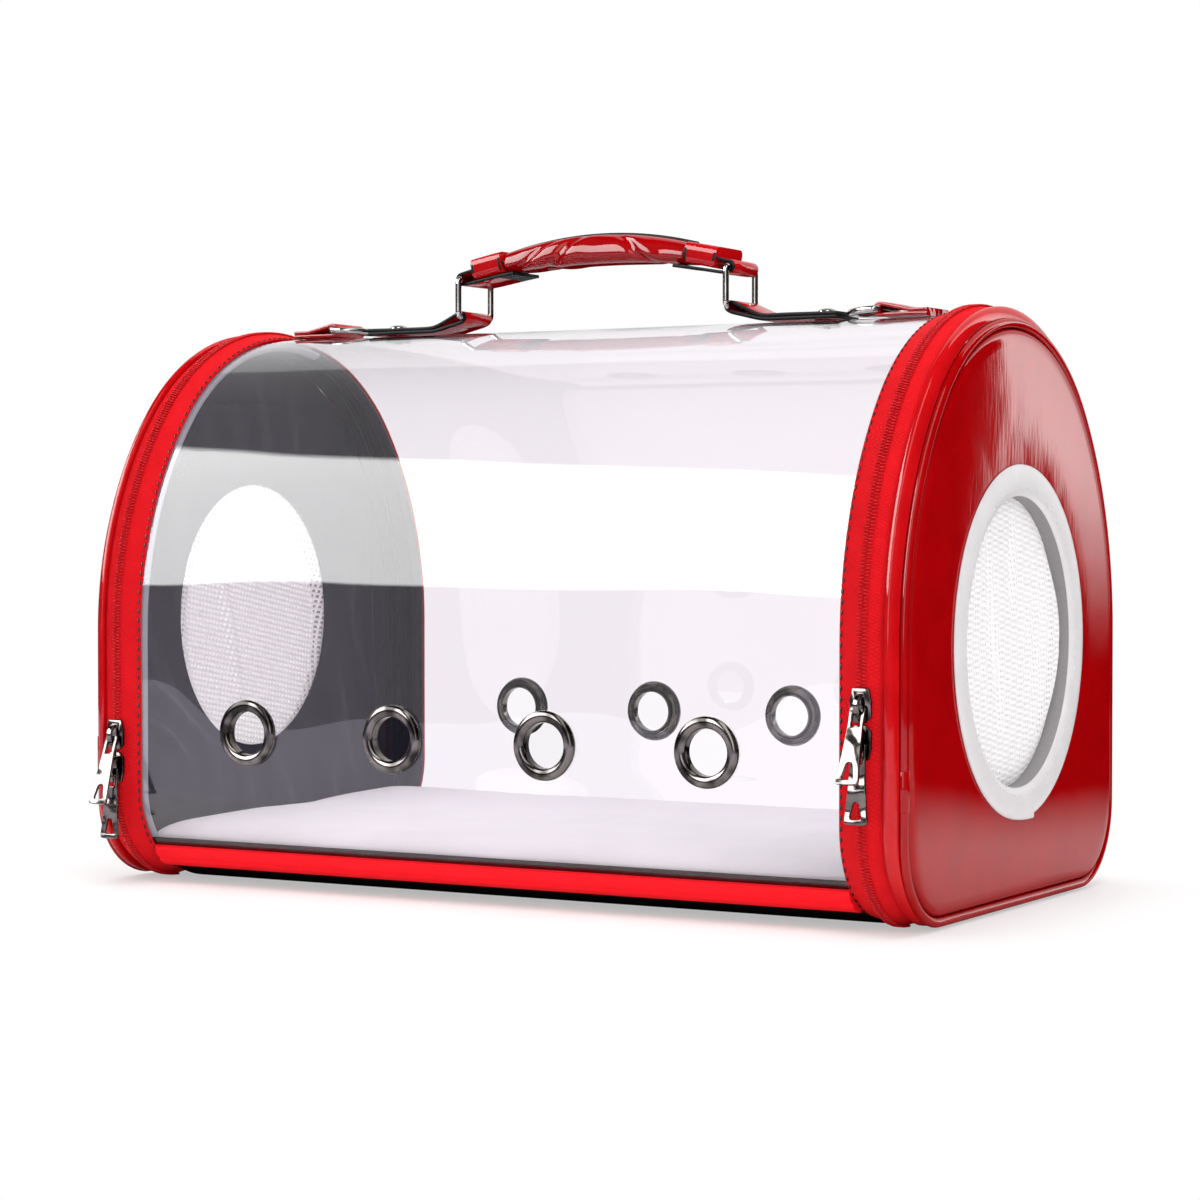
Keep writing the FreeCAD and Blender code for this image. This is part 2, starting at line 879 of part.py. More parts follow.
def pull_pivot(height):
    low, high = slider_offsets()
    eye_rise = crown_height - crown_bar
    return Vector(zip_x, -(half_width + high + slider_plate + eye_rise / 2), height - pull_drop)


def pull(height, lean):
    """Flat pull: a bar through the crown, a slot that clears it, and a three-sided hole at the foot."""
    pivot = pull_pivot(height)

    def place(across, down):
        return Vector(pivot.x + across, pivot.y + pull_thickness / 2, pivot.z - down)

    def frame(corners):
        points = [place(a, b) for a, b in corners]
        return Part.makePolygon(points + points[:1])

    head = pull_head_width / 2
    foot = pull_foot_width / 2
    top = -pull_bar / 2
    end = top + pull_length
    chamfer = pull_foot_bar
    body = frame([(-head, top), (head, top), (foot, end - chamfer), (foot - chamfer, end),
                  (chamfer - foot, end), (-foot, end - chamfer)])
    slot_half = pull_slot_width / 2
    slot_top = pull_bar / 2
    slot = frame([(-slot_half, slot_top), (slot_half, slot_top), (slot_half, slot_top + pull_slot_length),
                  (-slot_half, slot_top + pull_slot_length)])
    hole_end = end - pull_foot_bar
    hole_half = pull_hole_width / 2
    hole = frame([(0, hole_end - pull_hole_length), (hole_half, hole_end), (-hole_half, hole_end)])
    face = Part.makeFace(Part.makeCompound([body, slot, hole]), "Part::FaceMakerBullseye")
    shape = face.extrude(Vector(0, -pull_thickness, 0))
    shape.rotate(pivot, ALONG_X, -lean)
    return shape


# Write every node

nodes = {
    "clear_canopy": clear_canopy(),
    "base_cover": base_cover(),
    "base_bands": base_bands(),
    "base_lining": base_lining(),
    "base_board": base_board(),
    "floor_mat": floor_mat(),
    "eyelets": eyelets(),
    "eyelet_washers": eyelet_washers(),
    "tab_rivets": tab_rivets(),
    "rivet_washers": rivet_washers(),
    "handle_strap": handle_strap(),
    "handle_core": handle_core(),
    "handle_grip": handle_grip(),
    "handle_collars": handle_collars(),
}

for maker in (edge_binding, hoop_wire, hoop_sleeve):
    solid = maker()
    nodes[maker.__name__ + "s"] = Part.makeCompound([solid, mirrored(solid)])

paired = (body_tape, body_coil, sill, handle_tab, d_ring_tab, handle_ring, d_ring, rim_piping, door_tape,
          door_coil, door_gusset, face_lining, face_board, face_foam, face_skin, window_trim, window_mesh)
for maker in paired:
    solid = maker()
    nodes["right_" + maker.__name__] = solid
    nodes["left_" + maker.__name__] = mirrored(solid)

zip_levels = (("upper", 0, -1, upper_pull_lean), ("lower", slider_pitch, 1, lower_pull_lean))
for level, drop, nose, lean in zip_levels:
    nodes["right_" + level + "_slider"] = slider(right_slider_height - drop, nose)
    nodes["right_" + level + "_pull"] = pull(right_slider_height - drop, lean)
    nodes["left_" + level + "_slider"] = mirrored(slider(left_slider_height - drop, nose))
    nodes["left_" + level + "_pull"] = mirrored(pull(left_slider_height - drop, lean))

os.makedirs("parts", exist_ok=True)
for name, shape in nodes.items():
    if not shape.isValid():
        print("invalid", name)
    shape.exportStep("parts/" + name + ".step")
print("nodes", len(nodes))
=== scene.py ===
"""Looks of a clear-sided pet carrier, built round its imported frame."""

import math

import bpy
import numpy as np
from mathutils import Matrix, Vector, noise


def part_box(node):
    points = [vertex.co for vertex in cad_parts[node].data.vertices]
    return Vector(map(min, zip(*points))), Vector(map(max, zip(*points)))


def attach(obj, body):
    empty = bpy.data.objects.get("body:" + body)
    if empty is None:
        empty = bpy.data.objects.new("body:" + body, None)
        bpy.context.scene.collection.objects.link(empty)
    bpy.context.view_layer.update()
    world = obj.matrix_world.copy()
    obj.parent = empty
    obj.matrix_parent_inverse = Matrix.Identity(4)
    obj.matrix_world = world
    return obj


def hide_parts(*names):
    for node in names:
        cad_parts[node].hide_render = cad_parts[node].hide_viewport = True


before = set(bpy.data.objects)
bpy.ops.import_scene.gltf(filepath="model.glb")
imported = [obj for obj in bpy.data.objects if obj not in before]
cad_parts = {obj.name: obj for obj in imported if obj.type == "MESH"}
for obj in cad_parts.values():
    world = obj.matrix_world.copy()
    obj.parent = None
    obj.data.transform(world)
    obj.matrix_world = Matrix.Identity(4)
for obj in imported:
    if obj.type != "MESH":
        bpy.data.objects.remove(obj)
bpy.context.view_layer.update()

bl_info = {
    "name": "Clear-Sided Pet Carrier",
    "version": (1, 0, 0),
    "blender": (4, 5, 0),
    "location": "3D View > Sidebar > Carrier",
    "description": "Models the sewn, clear and metal pieces of a pet carrier round its frame",
    "category": "Add Mesh",
}

MM = 0.001
SHEET_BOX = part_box("clear_canopy")
SIDES = (("right", 1), ("left", -1))

# Body section in millimetres; offsets are measured outwards from the outer face of the clear sheet
HALF_WIDTH = SHEET_BOX[1][1] / MM
BODY_HEIGHT = SHEET_BOX[1][2] / MM
SHEET_END = SHEET_BOX[1][0] / MM
SHEET_LOW = SHEET_BOX[0][2] / MM
SPRING_HEIGHT = 119.0
FLANK_ANGLE = 39.967
CORNER_RADIUS = 40.0
BASE_LINE = 4.9
SILL_HALF = HALF_WIDTH - CORNER_RADIUS
CORNER_HEIGHT = BASE_LINE + CORNER_RADIUS
ARCH_RISE = BODY_HEIGHT - SPRING_HEIGHT
FLANK_COS = math.cos(math.radians(FLANK_ANGLE))
FLANK_SIN = math.sin(math.radians(FLANK_ANGLE))
ARCH_SPREAD = FLANK_COS + FLANK_SIN - 1
FLANK_RADIUS = (ARCH_RISE * FLANK_COS - HALF_WIDTH * (1 - FLANK_SIN)) / ARCH_SPREAD
CROWN_RADIUS = (HALF_WIDTH * FLANK_SIN - ARCH_RISE * (1 - FLANK_COS)) / ARCH_SPREAD

# Points and steps of each run of the section
WALL_POINTS = 9
CORNER_STEPS = 14
FLANK_STEPS = 16
CROWN_STEPS = 32
FLOOR_POINTS = 21

# Stations of the right end, along X
BINDING = (180.0, 185.5, 0.1, 1.1, 0.35)
SLEEVE = ((182.0, -3.2), (3.0, 2.05))
SLEEVE_LOW = 21.1
# Past this Y the hoop sleeves take the lining cloth as painted shade
SLEEVE_SHADE_START = 20.0
SILL = (180.8, 203.9, 2.7, 3.7, 0.35)
BODY_TAPE = [(180.8, 0.95), (181.1, 1.2), (185.5, 2.25), (191.3, 4.0), (191.55, 3.8),
             (191.55, 3.0), (185.5, 1.35), (181.0, 0.85)]
DOOR_TAPE = [(191.65, 3.8), (191.9, 4.0), (198.6, 1.9), (199.6, 1.3), (200.4, 1.0), (202.4, 1.0),
             (202.4, 0.5), (200.0, 0.5), (198.0, 0.95), (191.65, 3.0)]
# Lining that covers the seams from inside, pleated on the door's side
SEAM_COVER = [(182.2, -1.03), (185.4, -1.0), (185.9, 0.8), (191.55, 1.0), (191.55, 0.5), (186.4, 0.2),
              (185.7, -1.3), (182.2, -1.12)]
GUSSET_COVER = [(191.62, 0.95), (197.6, 0.6), (199.9, -1.2), (200.4, -6.2), (199.9, -6.2), (199.0, -3.9),
                (199.3, -2.6), (198.3, -1.2), (197.8, 0.1), (196.6, -0.9), (195.6, 0.2), (194.4, -0.5),
                (193.4, 0.3), (191.62, 0.4)]
# Patent strip between tape and piping; where a third number stands, it is the floor of that line
GUSSET_FLOOR = BASE_LINE - 3.3
GUSSET_INNER_FLOOR = GUSSET_FLOOR + 0.9
GUSSET = [(200.3, 1.3), (200.25, 2.2), (200.6, 3.0), (201.3, 3.35), (202.5, 3.3, GUSSET_FLOOR),
          (203.3, 2.9, GUSSET_FLOOR), (204.2, 1.9, GUSSET_FLOOR), (204.9, 0.6, GUSSET_FLOOR),
          (205.4, -0.9, GUSSET_FLOOR), (205.5, -1.75, GUSSET_FLOOR), (204.9, -1.9, GUSSET_INNER_FLOOR),
          (204.2, -0.2, GUSSET_INNER_FLOOR), (203.4, 1.2, GUSSET_INNER_FLOOR),
          (202.5, 2.2, GUSSET_INNER_FLOOR), (201.2, 2.4), (200.9, 1.3)]
BODY_COIL_X = 190.5
DOOR_COIL_X = 192.7
COIL_OFFSET = 4.1
RIM_X = 206.5
RIM_OFFSET = -4.0
HINGE_HEIGHT = 3.2
PIPING_RADIUS = 2.2
FACE_OFFSET = -6.3
FACE_FLOOR = 5.5
LINING_X = 200.5
MESH_X = 201.8
FOAM_X = 204.0
SKIN_TOP = 209.3
WINDOW_HEIGHT = 117.0
WINDOW_HALF = (60.5, 65.0)
NET_LEAN = 10.0
PUCKER = 0.12
LINING_SLACK = 4.0
NET_MARGIN = 9.0
LINING_SHIFT = (-3.0, 6.0)
NET_THICK = 0.5

# Straps and wire rings
STRAP_HALF = 12.0
STRAP_THICK = 1.6
STRAP_FLOOR = 260.3
LOOP_RADIUS = 2.55
RING_X = 72.0
RING_LOW = 267.65
RING_HIGH = 285.65
GRIP_HEIGHT = 297.0
GRIP_HALF = (49.0, 13.5, 7.0)
HANDLE_RISE = GRIP_HEIGHT - RING_HIGH - LOOP_RADIUS
HANDLE_RADIUS = (RING_X ** 2 + HANDLE_RISE ** 2) / (2 * HANDLE_RISE)

# Clear sheet: its middle, ripple and bow, the last low down and next to the end seams (place, half width)
SHEET_MIDDLE = -0.5
SHEET_ROWS = 61
SHEET_RIPPLE = 0.22
SHEET_BOW = 0.7
BOW_OUT = (178.0, 34.0)
BOW_IN = (105.0, 40.0)
BOW_HEIGHT = (118.0, 38.0)

# Eyelets, their washers and the rivets, as radii and heights from the sheet
EYELET_HEIGHT = 73.0
EYELET_PITCH = 79.1
EYELET_COUNT = 4
PUNCH_RADIUS = 10.9
PUNCH_DEPTH = 20.0
EYELET_BORE = 10.0
EYELET_RIM = 15.25
EYELET_CREST = (12.6, 0.8)
EYELET_ROLL = (2.62, 1.65)
EYELET_SHANK = 3.1
WASHER_FLAT = [(10.9, -1.1), (14.4, -1.1)]
WASHER_CREST = (12.7, -1.3)
WASHER_ROLL = (1.8, 1.6)
RIVET_X = 116.0
RIVET_TOP = 265.8
RIVET_DOME = (4.5, 1.9)
RIVET_SHANK = [(4.6, 263.7), (4.4, 263.6), (1.6, 263.6), (1.6, 256.6), (0, 256.6)]

# Base: cover, bands and lining tray
BASE_END = 179.9
BASE_ROWS = 41
COVER_MIDDLE = 68.6
COVER_RADIUS = 52.0
COVER_SWEEP = 58.0
COVER_INNER = 40.1
COVER_INNER_SWEEP = 67.3
COVER_FOOT = 40.0
BAND_HEIGHTS = (8.0, 17.5)
BAND_RADIUS = 41.0
BAND_FOOT = 0.1
BAND_EDGE = 1.4
BAND_SWELL = 2.4
BAND_GROOVE = 1.2
GROOVE_PLACE = (0.62, 0.04)
TRAY_OFFSET = -1.5
HEM_HEIGHT = 21.8
CLOTH = 0.8

# Floor mat
MAT_SPARE = (2.0, -4.0, -2.0)
MAT_CORNER = 6.0
MAT_EDGE = 5.0
MAT_VOXEL = 5.0
MAT_PRESSURE = 4
MAT_STEPS = 20
MAT_SWELL = 3.0
MAT_CROWN = 1.0
MAT_LIFT = (1.5, 3.5)
MAT_HALF = 104.0
MAT_FOOT = 94.5
MAT_LEAN = (9.5, 11.0)
MAT_REACH = 190.5
MAT_FILL = (1.025, 1.03)

# Padded face, its lining and the piping's lap; a fold has two ends (y, z), a height and a half width
FACE_ROLL = 3.4
FACE_EDGE = ((FOAM_X, 0), (205.6, 0), (207.2, 0.35), (208.3, 1.1), (209.0, 2.2), (SKIN_TOP, FACE_ROLL))
FACE_HOLE = 2.0
SKIN_THICK = 1.2
LINING_HOLE = 0.2
LINING_FOLDS = (((-118, 104), (-48, 64), 6.5, 4.2), ((-118, 90), (-60, 54), 5.0, 2.8),
                ((-66, 226), (12, 229), 2.4, 1.6), ((-112, 62), (-96, 30), 4.5, 3.0),
                ((96, 160), (99, 40), 3.0, 2.5))
LAP_RADIUS = 2.5
LAP_LENGTH = 17.0
LAP_HEIGHT = 60.0

# Window trim as (growth past the window, x) with its lap at the foot, and the net, whose folds are given
# from the window's middle
TRIM_FLANGE = [(0.4, 209.4), (12.1, 209.4), (12.5, 209.8), (12.4, 210.3), (11.9, 210.6), (9.0, 210.95),
               (6.0, 211.05), (3.0, 210.95), (0.6, 210.6), (-0.6, 210.1), (-1.3, 209.0)]
TRIM = [(-0.1, 202.3), (-0.1, 207.5)] + TRIM_FLANGE + [(-1.3, 202.3), (-0.1, 202.3)]
TRIM_TOP = 209.5
TRIM_LAP = (-100, -80)
LAP_RAISE = 0.45
LAP_FLARE = 1.7
NET_SPAN = 170.0
NET_WAVE = 1.6
NET_RISE = 3.5
NET_LOBE = (1.2, 4.0)
NET_HELD = 0.14
NET_FOLDS = (((-31, 47), (-10, -37), 3.0, 3.2), ((5, 55), (1.5, 18), 2.6, 2.8))

# Tabs as the ring's bar (x, z), the start of the doubled end and its far end; strap tails; grip, whose
# creases are given as place and run; collars
HANDLE_TAB = (RING_X, RING_LOW, 90.0, 126.0)
D_RING_TAB = (147.0, 263.65, 164.0, 170.0)
STRAP_TAIL = [(43.0, 287.3), (50.0, 286.4), (57.0, 285.2), (64.0, 283.9), (69.0, 283.15)]
EDGE_PAINT = 0.5
STRAP_WAVE = 0.2
GRIP_CREASES = ((-16.0, 8.0), (22.0, -9.0), (-33.0, 12.0))
GRIP_SEAM = (-1.2, 1.2, -1.6, 1.0, 0.5)
COLLAR = (-13.1, 13.1, -4.7, 5.2, 3.0, 4)
COLLAR_ENDS = (49.6, 65.6)
COLLAR_PAINT = (7.0, 7.9)

# Zip pulls: outlines from the pivot, plate and place; a level has its drop and its lean in degrees
PULL_BODY = [(-3.5, 0.8), (3.5, 0.8), (3.3, -8.0), (4.4, -24.0), (5.2, -30.8), (4.6, -32.2), (-4.6, -32.2),
             (-5.2, -30.8), (-4.4, -24.0), (-3.3, -8.0)]
PULL_SLOT = [(-1.8, -0.8), (1.8, -0.8), (1.8, -8.0), (-1.8, -8.0)]
PULL_HOLE = [(-1.3, -22.8), (1.3, -22.8), (2.7, -30.0), (-2.7, -30.0)]
PULL_THICK = 1.4
SLIDER_EDGE = 0.35
PULL_EDGE = 0.3
PULL_PLACE = (191.6, -127.35)
PULL_HEIGHT = {"right": 94.0, "left": 69.0}
PULL_LEVELS = (("upper", 0, 20), ("lower", 15, 4))

# Stitches: half width and half height, and their places on tape and trim
STITCH_HALF = (0.55, 0.4)
TAPE_STITCH = (180.95, 1.3)
TRIM_STITCH = (2.2, 210.8)
COIL_TURN = (1.35, 0.42, 0.7)

# Stage, in metres: floor, lamps as place, target, size and brightness, and camera
FLOOR_RADIUS = 1.5
FOOTPRINT = (0.2, 0.1, 0.0)
CONTACT_WIDTH = 0.12
MIRROR_CONTACT = 0.04
BACK_RIGHT = (0.38, 0.93, 0.0)
WALL_STOP = (-1.0, 0.401, 0.31)
RAYS = ("Is Camera Ray", "Is Glossy Ray", "Is Transmission Ray")
LAMPS = (
    ("key_right", (2.2, -0.9, 1.0), (0, 0, 0.1), (1.2, 1.2), 4.2),
    ("fill_left", (-1.2, -1.5, 1.2), (0, 0, 0.1), (1.3, 1.3), 0.35),
    ("rear_panel", (-0.45, 1.0, 0.85), (-0.45, 0, 0.85), (2.1, 1.35), 0.8),
    ("top_panel", (0, -0.3, 2.2), (0, -0.1, 0), (1.8, 1.8), 4.0),
    ("front_low", (1.0, -1.6, 0.16), (0, 0, 0.05), (2.0, 0.3), 2.6),
)
CAMERA_PLACE = (0.71509, -1.24167, 0.16737)
CAMERA_TILT = 1.383
CAMERA_TURN = 30.019
CAMERA_LENS = 91.31
CAMERA_SENSOR = 36.0


def linear(code):
    """Turn an sRGB hex value into a linear colour."""
    parts = [int(code[at:at + 2], 16) / 255 for at in (1, 3, 5)]
    return tuple(part / 12.92 if part <= 0.04045 else ((part + 0.055) / 1.055) ** 2.4 for part in parts)


def colour(name, description, code):
    """Property for a colour given as a hex value."""
    return bpy.props.FloatVectorProperty(name=name, description=description, default=linear(code),
                                         subtype="COLOR", size=3, min=0.0, max=1.0)


def length(name, description, millimetres):
    """Property for a length given in millimetres."""
    return bpy.props.FloatProperty(name=name, description=description, default=millimetres * MM,
                                   unit="LENGTH", min=0.0, precision=5)


class CarrierSizes(bpy.types.PropertyGroup):
    """Sizes that change the looks and not the frame."""
    sheet: length("Sheet", "Thickness of the clear sheet", 1.0)
    stitch_pitch: length("Stitch pitch", "Distance from one stitch to the next", 4.4)
    stitch: length("Stitch", "Length of one stitch", 2.6)
    coil_pitch: length("Coil pitch", "Distance from one turn of a zip coil to the next", 1.5)
    net_pitch: length("Net pitch", "Width of one gap of the window net", 2.6)
    net_strand: length("Net strand", "Width of one strand of the window net", 1.25)
    face_crown: length("Face crown", "How far the padded face swells between rim and window", 0.3)
    grip_crease: length("Grip crease", "Depth of the creases in the grip's cover", 1.5)


class CarrierColours(bpy.types.PropertyGroup):
    """Colours of the finishes."""
    patent: colour("Patent", "Patent leather of the ends and the handle", "#a80409")
    patent_deep: colour("Patent deep", "Darker tone in the patent leather", "#8e0206")
    gusset: colour("Gusset", "Brighter patent leather of the gussets and straps", "#cf131a")
    tape: colour("Tape", "Woven zip tape and edge binding", "#d8141d")
    tape_deep: colour("Tape deep", "Valleys of the tape's weave", "#b80c14")
    band: colour("Band", "Woven band along the base", "#ff1d29")
    band_deep: colour("Band deep", "Valleys of the band's weave", "#f0161f")
    coil: colour("Coil", "Nylon zip coil", "#cc131d")
    lining: colour("Lining", "Grey lining inside the ends", "#2d2b37")
    mat: colour("Mat", "Pale fleece of the floor mat", "#fbf9fb")
    base: colour("Base", "Black cloth under the floor", "#0d0c0e")
    gunmetal: colour("Gunmetal", "Plated eyelets, sliders and pulls", "#6f6a67")
    nickel: colour("Nickel", "Plated wire rings", "#c6c3c0")
    trim: colour("Trim", "Pale vinyl round the windows", "#dcd9db")
    net: colour("Net", "White net of the windows", "#fbf9fa")
    sheet: colour("Sheet", "Tint of the clear sheet", "#fefbfe")
    edge: colour("Edge paint", "Paint on the cut edges of the straps", "#121113")
    thread: colour("Thread", "Sewing thread on the red pieces", "#30050a")
    hem: colour("Hem", "Hem of the lining tray", "#17171a")
    # Tone of the hoop sleeves in front; behind, the same sleeves are painted in shade with the lining colour
    sleeve: colour("Sleeve", "Cloth sleeves of the hoops", "#a3a5ad")
    # Grey of the net binding, dark enough to also stand for the shade inside the window trim: partly painted
    # shade
    shaded_net_edge: colour("Net edge", "Inside of the window trim", "#959294")
    board: colour("Board", "Stiffening boards", "#cbc7bf")
    steel: colour("Steel", "Spring steel of the hoops", "#9a9894")
    floor: colour("Floor", "Table that the carrier stands on", "#f4f4f4")
    floor_mirror: colour("Floor mirror", "What the sheet mirrors of the lit table", "#ece6fa")


# Materials

COLOUR_MIX = {"data_type": "RGBA", "output": 2}


def add(tree, kind, inputs=None, to=None, output=0, **settings):
    """Add a node, set it up, fill its inputs with values or links, and lead one output to a socket."""
    node = tree.nodes.new(kind)
    for key, value in settings.items():
        setattr(node, key, value)
    for key, value in (inputs or {}).items():
        if isinstance(value, bpy.types.NodeSocket):
            tree.links.new(value, node.inputs[key])
        else:
            node.inputs[key].default_value = value
    if to:
        tree.links.new(node.outputs[output], to)
    return node


def opaque(tone, share=1.0):
    """Colour with full alpha; a share below 1 makes it darker."""
    return (*(share * part for part in tone[:3]), 1.0)


def surface(name, **values):
    """New material, its nodes, shader and Object coordinates; values are set on the shader's own sockets."""
    material = bpy.data.materials.new(name)
    material.use_nodes = True
    tree = material.node_tree
    shader = tree.nodes["Principled BSDF"]
    for key, value in values.items():
        shader.inputs[key.replace("_", " ").title().replace("Ior", "IOR")].default_value = value
    return material, tree, shader, add(tree, "ShaderNodeTexCoord").outputs["Object"]


def per_mm(size):
    """Texture scale for a pattern whose features are this many millimetres wide."""
    return 1 / (size * MM)


def bands_per_mm(size):
    """Wave texture scale for bands this many millimetres apart."""
    return 2 * math.pi / (20 * size * MM)


def patent(name, tone, deep, crease_mm, crease_strength):
    """Patent leather: a pressed crinkle under a thick lacquer, so reflections are sharp but break up."""
    material, tree, shader, where = surface(name, roughness=0.5, specular_ior_level=0.0, coat_weight=0.65,
                                            coat_roughness=0.04, coat_ior=1.5)
    # The dye clouds a little over 18 mm
    cloud = add(tree, "ShaderNodeTexNoise", {"Vector": where, "Scale": per_mm(18), "Detail": 3.0})
    add(tree, "ShaderNodeMix", {0: cloud.outputs[0], 6: opaque(deep), 7: opaque(tone)},
        to=shader.inputs["Base Color"], **COLOUR_MIX)
    # Creases in the hide
    swell = add(tree, "ShaderNodeTexNoise", {"Vector": where, "Scale": per_mm(crease_mm), "Detail": 1.0})
    low = add(tree, "ShaderNodeBump", {"Height": swell.outputs[0], "Distance": 0.9 * MM,
                                       "Strength": crease_strength})
    # Crinkle of the pressed grain, about 2 mm wide and drawn out to 11 mm along Z
    drawn = add(tree, "ShaderNodeMapping", {"Vector": where, "Scale": (1, 1, 0.2)})
    crinkle = add(tree, "ShaderNodeTexNoise", {"Vector": drawn.outputs[0], "Scale": per_mm(2.2),
                                               "Detail": 2.0})
    fine = add(tree, "ShaderNodeBump", {"Height": crinkle.outputs[0], "Distance": 0.009 * MM, "Strength": 1.0,
                                        "Normal": low.outputs[0]}, to=shader.inputs["Normal"])
    tree.links.new(fine.outputs[0], shader.inputs["Coat Normal"])
    return material


def woven_tape(name, tone, deep):
    """Polyester tape: a fine twill, matt, so its red stays even from every side."""
    material, tree, shader, where = surface(name, roughness=0.75, specular_ior_level=0.1)
    # Yarns are 0.5 mm apart; drawn at 0.9 mm so that they show
    flat = add(tree, "ShaderNodeTexCoord").outputs["UV"]
    twill = []
    for turn in (38, -52):
        lean = add(tree, "ShaderNodeMapping", {"Vector": flat, "Rotation": (0, 0, math.radians(turn))})
        twill.append(add(tree, "ShaderNodeTexWave", {"Vector": lean.outputs[0], "Scale": bands_per_mm(0.9)}))
    weave = add(tree, "ShaderNodeMath", {0: twill[0].outputs["Fac"], 1: twill[1].outputs["Fac"]},
                operation="MULTIPLY")
    # Wear, in patches of 9 mm
    cloud = add(tree, "ShaderNodeTexNoise", {"Vector": where, "Scale": per_mm(9), "Detail": 2.0})
    mixed = add(tree, "ShaderNodeMath", {0: weave.outputs[0], 1: cloud.outputs[0]}, operation="ADD")
    add(tree, "ShaderNodeMix", {0: mixed.outputs[0], 6: opaque(deep), 7: opaque(tone)},
        to=shader.inputs["Base Color"], **COLOUR_MIX)
    add(tree, "ShaderNodeBump", {"Height": weave.outputs[0], "Distance": 0.12 * MM, "Strength": 0.6},
        to=shader.inputs["Normal"])
    return material


def nylon_coil():
    """Moulded nylon filament: smooth and slightly waxy."""
    tone = bpy.context.scene.carrier_colours.coil
    material, tree, shader, where = surface("nylon_coil", roughness=0.5, specular_ior_level=0.2)
    # Each turn takes the dye a little differently, over 3 mm
    dye = add(tree, "ShaderNodeTexNoise", {"Vector": where, "Scale": per_mm(3), "Detail": 2.0})
    add(tree, "ShaderNodeMix", {0: dye.outputs[0], 6: opaque(tone, 0.7), 7: opaque(tone)},
        to=shader.inputs["Base Color"], **COLOUR_MIX)
    return material


def plain_weave(name, tone, yarn_mm, rough, axes, sheen):
    """Plain-woven cloth: yarns cross over and under each other along two axes."""
    material, tree, shader, where = surface(name, roughness=rough, specular_ior_level=0.1, sheen_weight=sheen,
                                            sheen_roughness=0.5)
    yarns = []
    for axis in axes:
        yarns.append(add(tree, "ShaderNodeTexWave", {"Vector": where, "Scale": bands_per_mm(yarn_mm)},
                         bands_direction=axis))
    weave = add(tree, "ShaderNodeMath", {0: yarns[0].outputs["Fac"], 1: yarns[1].outputs["Fac"]},
                operation="MULTIPLY")
    # The colour fades in patches of 25 mm
    fade = add(tree, "ShaderNodeTexNoise", {"Vector": where, "Scale": per_mm(25), "Detail": 3.0})
    mixed = add(tree, "ShaderNodeMath", {0: weave.outputs[0], 1: fade.outputs[0]}, operation="ADD")
    add(tree, "ShaderNodeMix", {0: mixed.outputs[0], 6: opaque(tone, 0.86), 7: opaque(tone)},
        to=shader.inputs["Base Color"], **COLOUR_MIX)
    add(tree, "ShaderNodeBump", {"Height": weave.outputs[0], "Distance": 0.1 * MM, "Strength": 0.03},
        to=shader.inputs["Normal"])
    return material


def fleece():
    """Short-pile fleece of the mat: pale, soft and without gloss."""
    tone = bpy.context.scene.carrier_colours.mat
    material, tree, shader, where = surface("mat_fleece", roughness=0.9, sheen_weight=0.4,
                                            sheen_roughness=0.6)
    # Tufts of 1.8 mm on a pile that lies one way or the other over 22 mm
    pile = add(tree, "ShaderNodeTexNoise", {"Vector": where, "Scale": per_mm(1.8), "Detail": 4.0})
    lie = add(tree, "ShaderNodeTexNoise", {"Vector": where, "Scale": per_mm(22), "Detail": 2.0})
    add(tree, "ShaderNodeMix", {0: lie.outputs[0], 6: opaque(tone, 0.9), 7: opaque(tone)},
        to=shader.inputs["Base Color"], **COLOUR_MIX)
    soft = add(tree, "ShaderNodeBump", {"Height": lie.outputs[0], "Distance": 1.2 * MM, "Strength": 0.4})
    add(tree, "ShaderNodeBump", {"Height": pile.outputs[0], "Distance": 0.4 * MM, "Strength": 0.5,
                                 "Normal": soft.outputs[0]}, to=shader.inputs["Normal"])
    return material


def plated(name, tone, rough, swell=0.0, dark=0.7):
    """Plated and tumbled metal: a mirror with faint rub marks, on a cast face that may swell a little."""
    material, tree, shader, where = surface(name, metallic=1.0)
    # Rub marks of 1.2 mm
    rub = add(tree, "ShaderNodeTexNoise", {"Vector": where, "Scale": per_mm(1.2), "Detail": 4.0})
    add(tree, "ShaderNodeMapRange", {0: rub.outputs[0], 3: rough * 0.7, 4: rough * 1.4},
        to=shader.inputs["Roughness"])
    # The plating is thicker in patches of 9 mm
    cloud = add(tree, "ShaderNodeTexNoise", {"Vector": where, "Scale": per_mm(9), "Detail": 1.0})
    patch = add(tree, "ShaderNodeMapRange", {0: cloud.outputs[0], 1: 0.4, 2: 0.6})
    add(tree, "ShaderNodeMix", {0: patch.outputs[0], 6: opaque(tone, dark), 7: opaque(tone)},
        to=shader.inputs["Base Color"], **COLOUR_MIX)
    if swell:
        # The casting isn't flat over 7 mm
        wave = add(tree, "ShaderNodeTexNoise", {"Vector": where, "Scale": per_mm(7), "Detail": 0.0})
        add(tree, "ShaderNodeBump", {"Height": wave.outputs[0], "Distance": swell * MM, "Strength": 1.0},
            to=shader.inputs["Normal"])
    return material


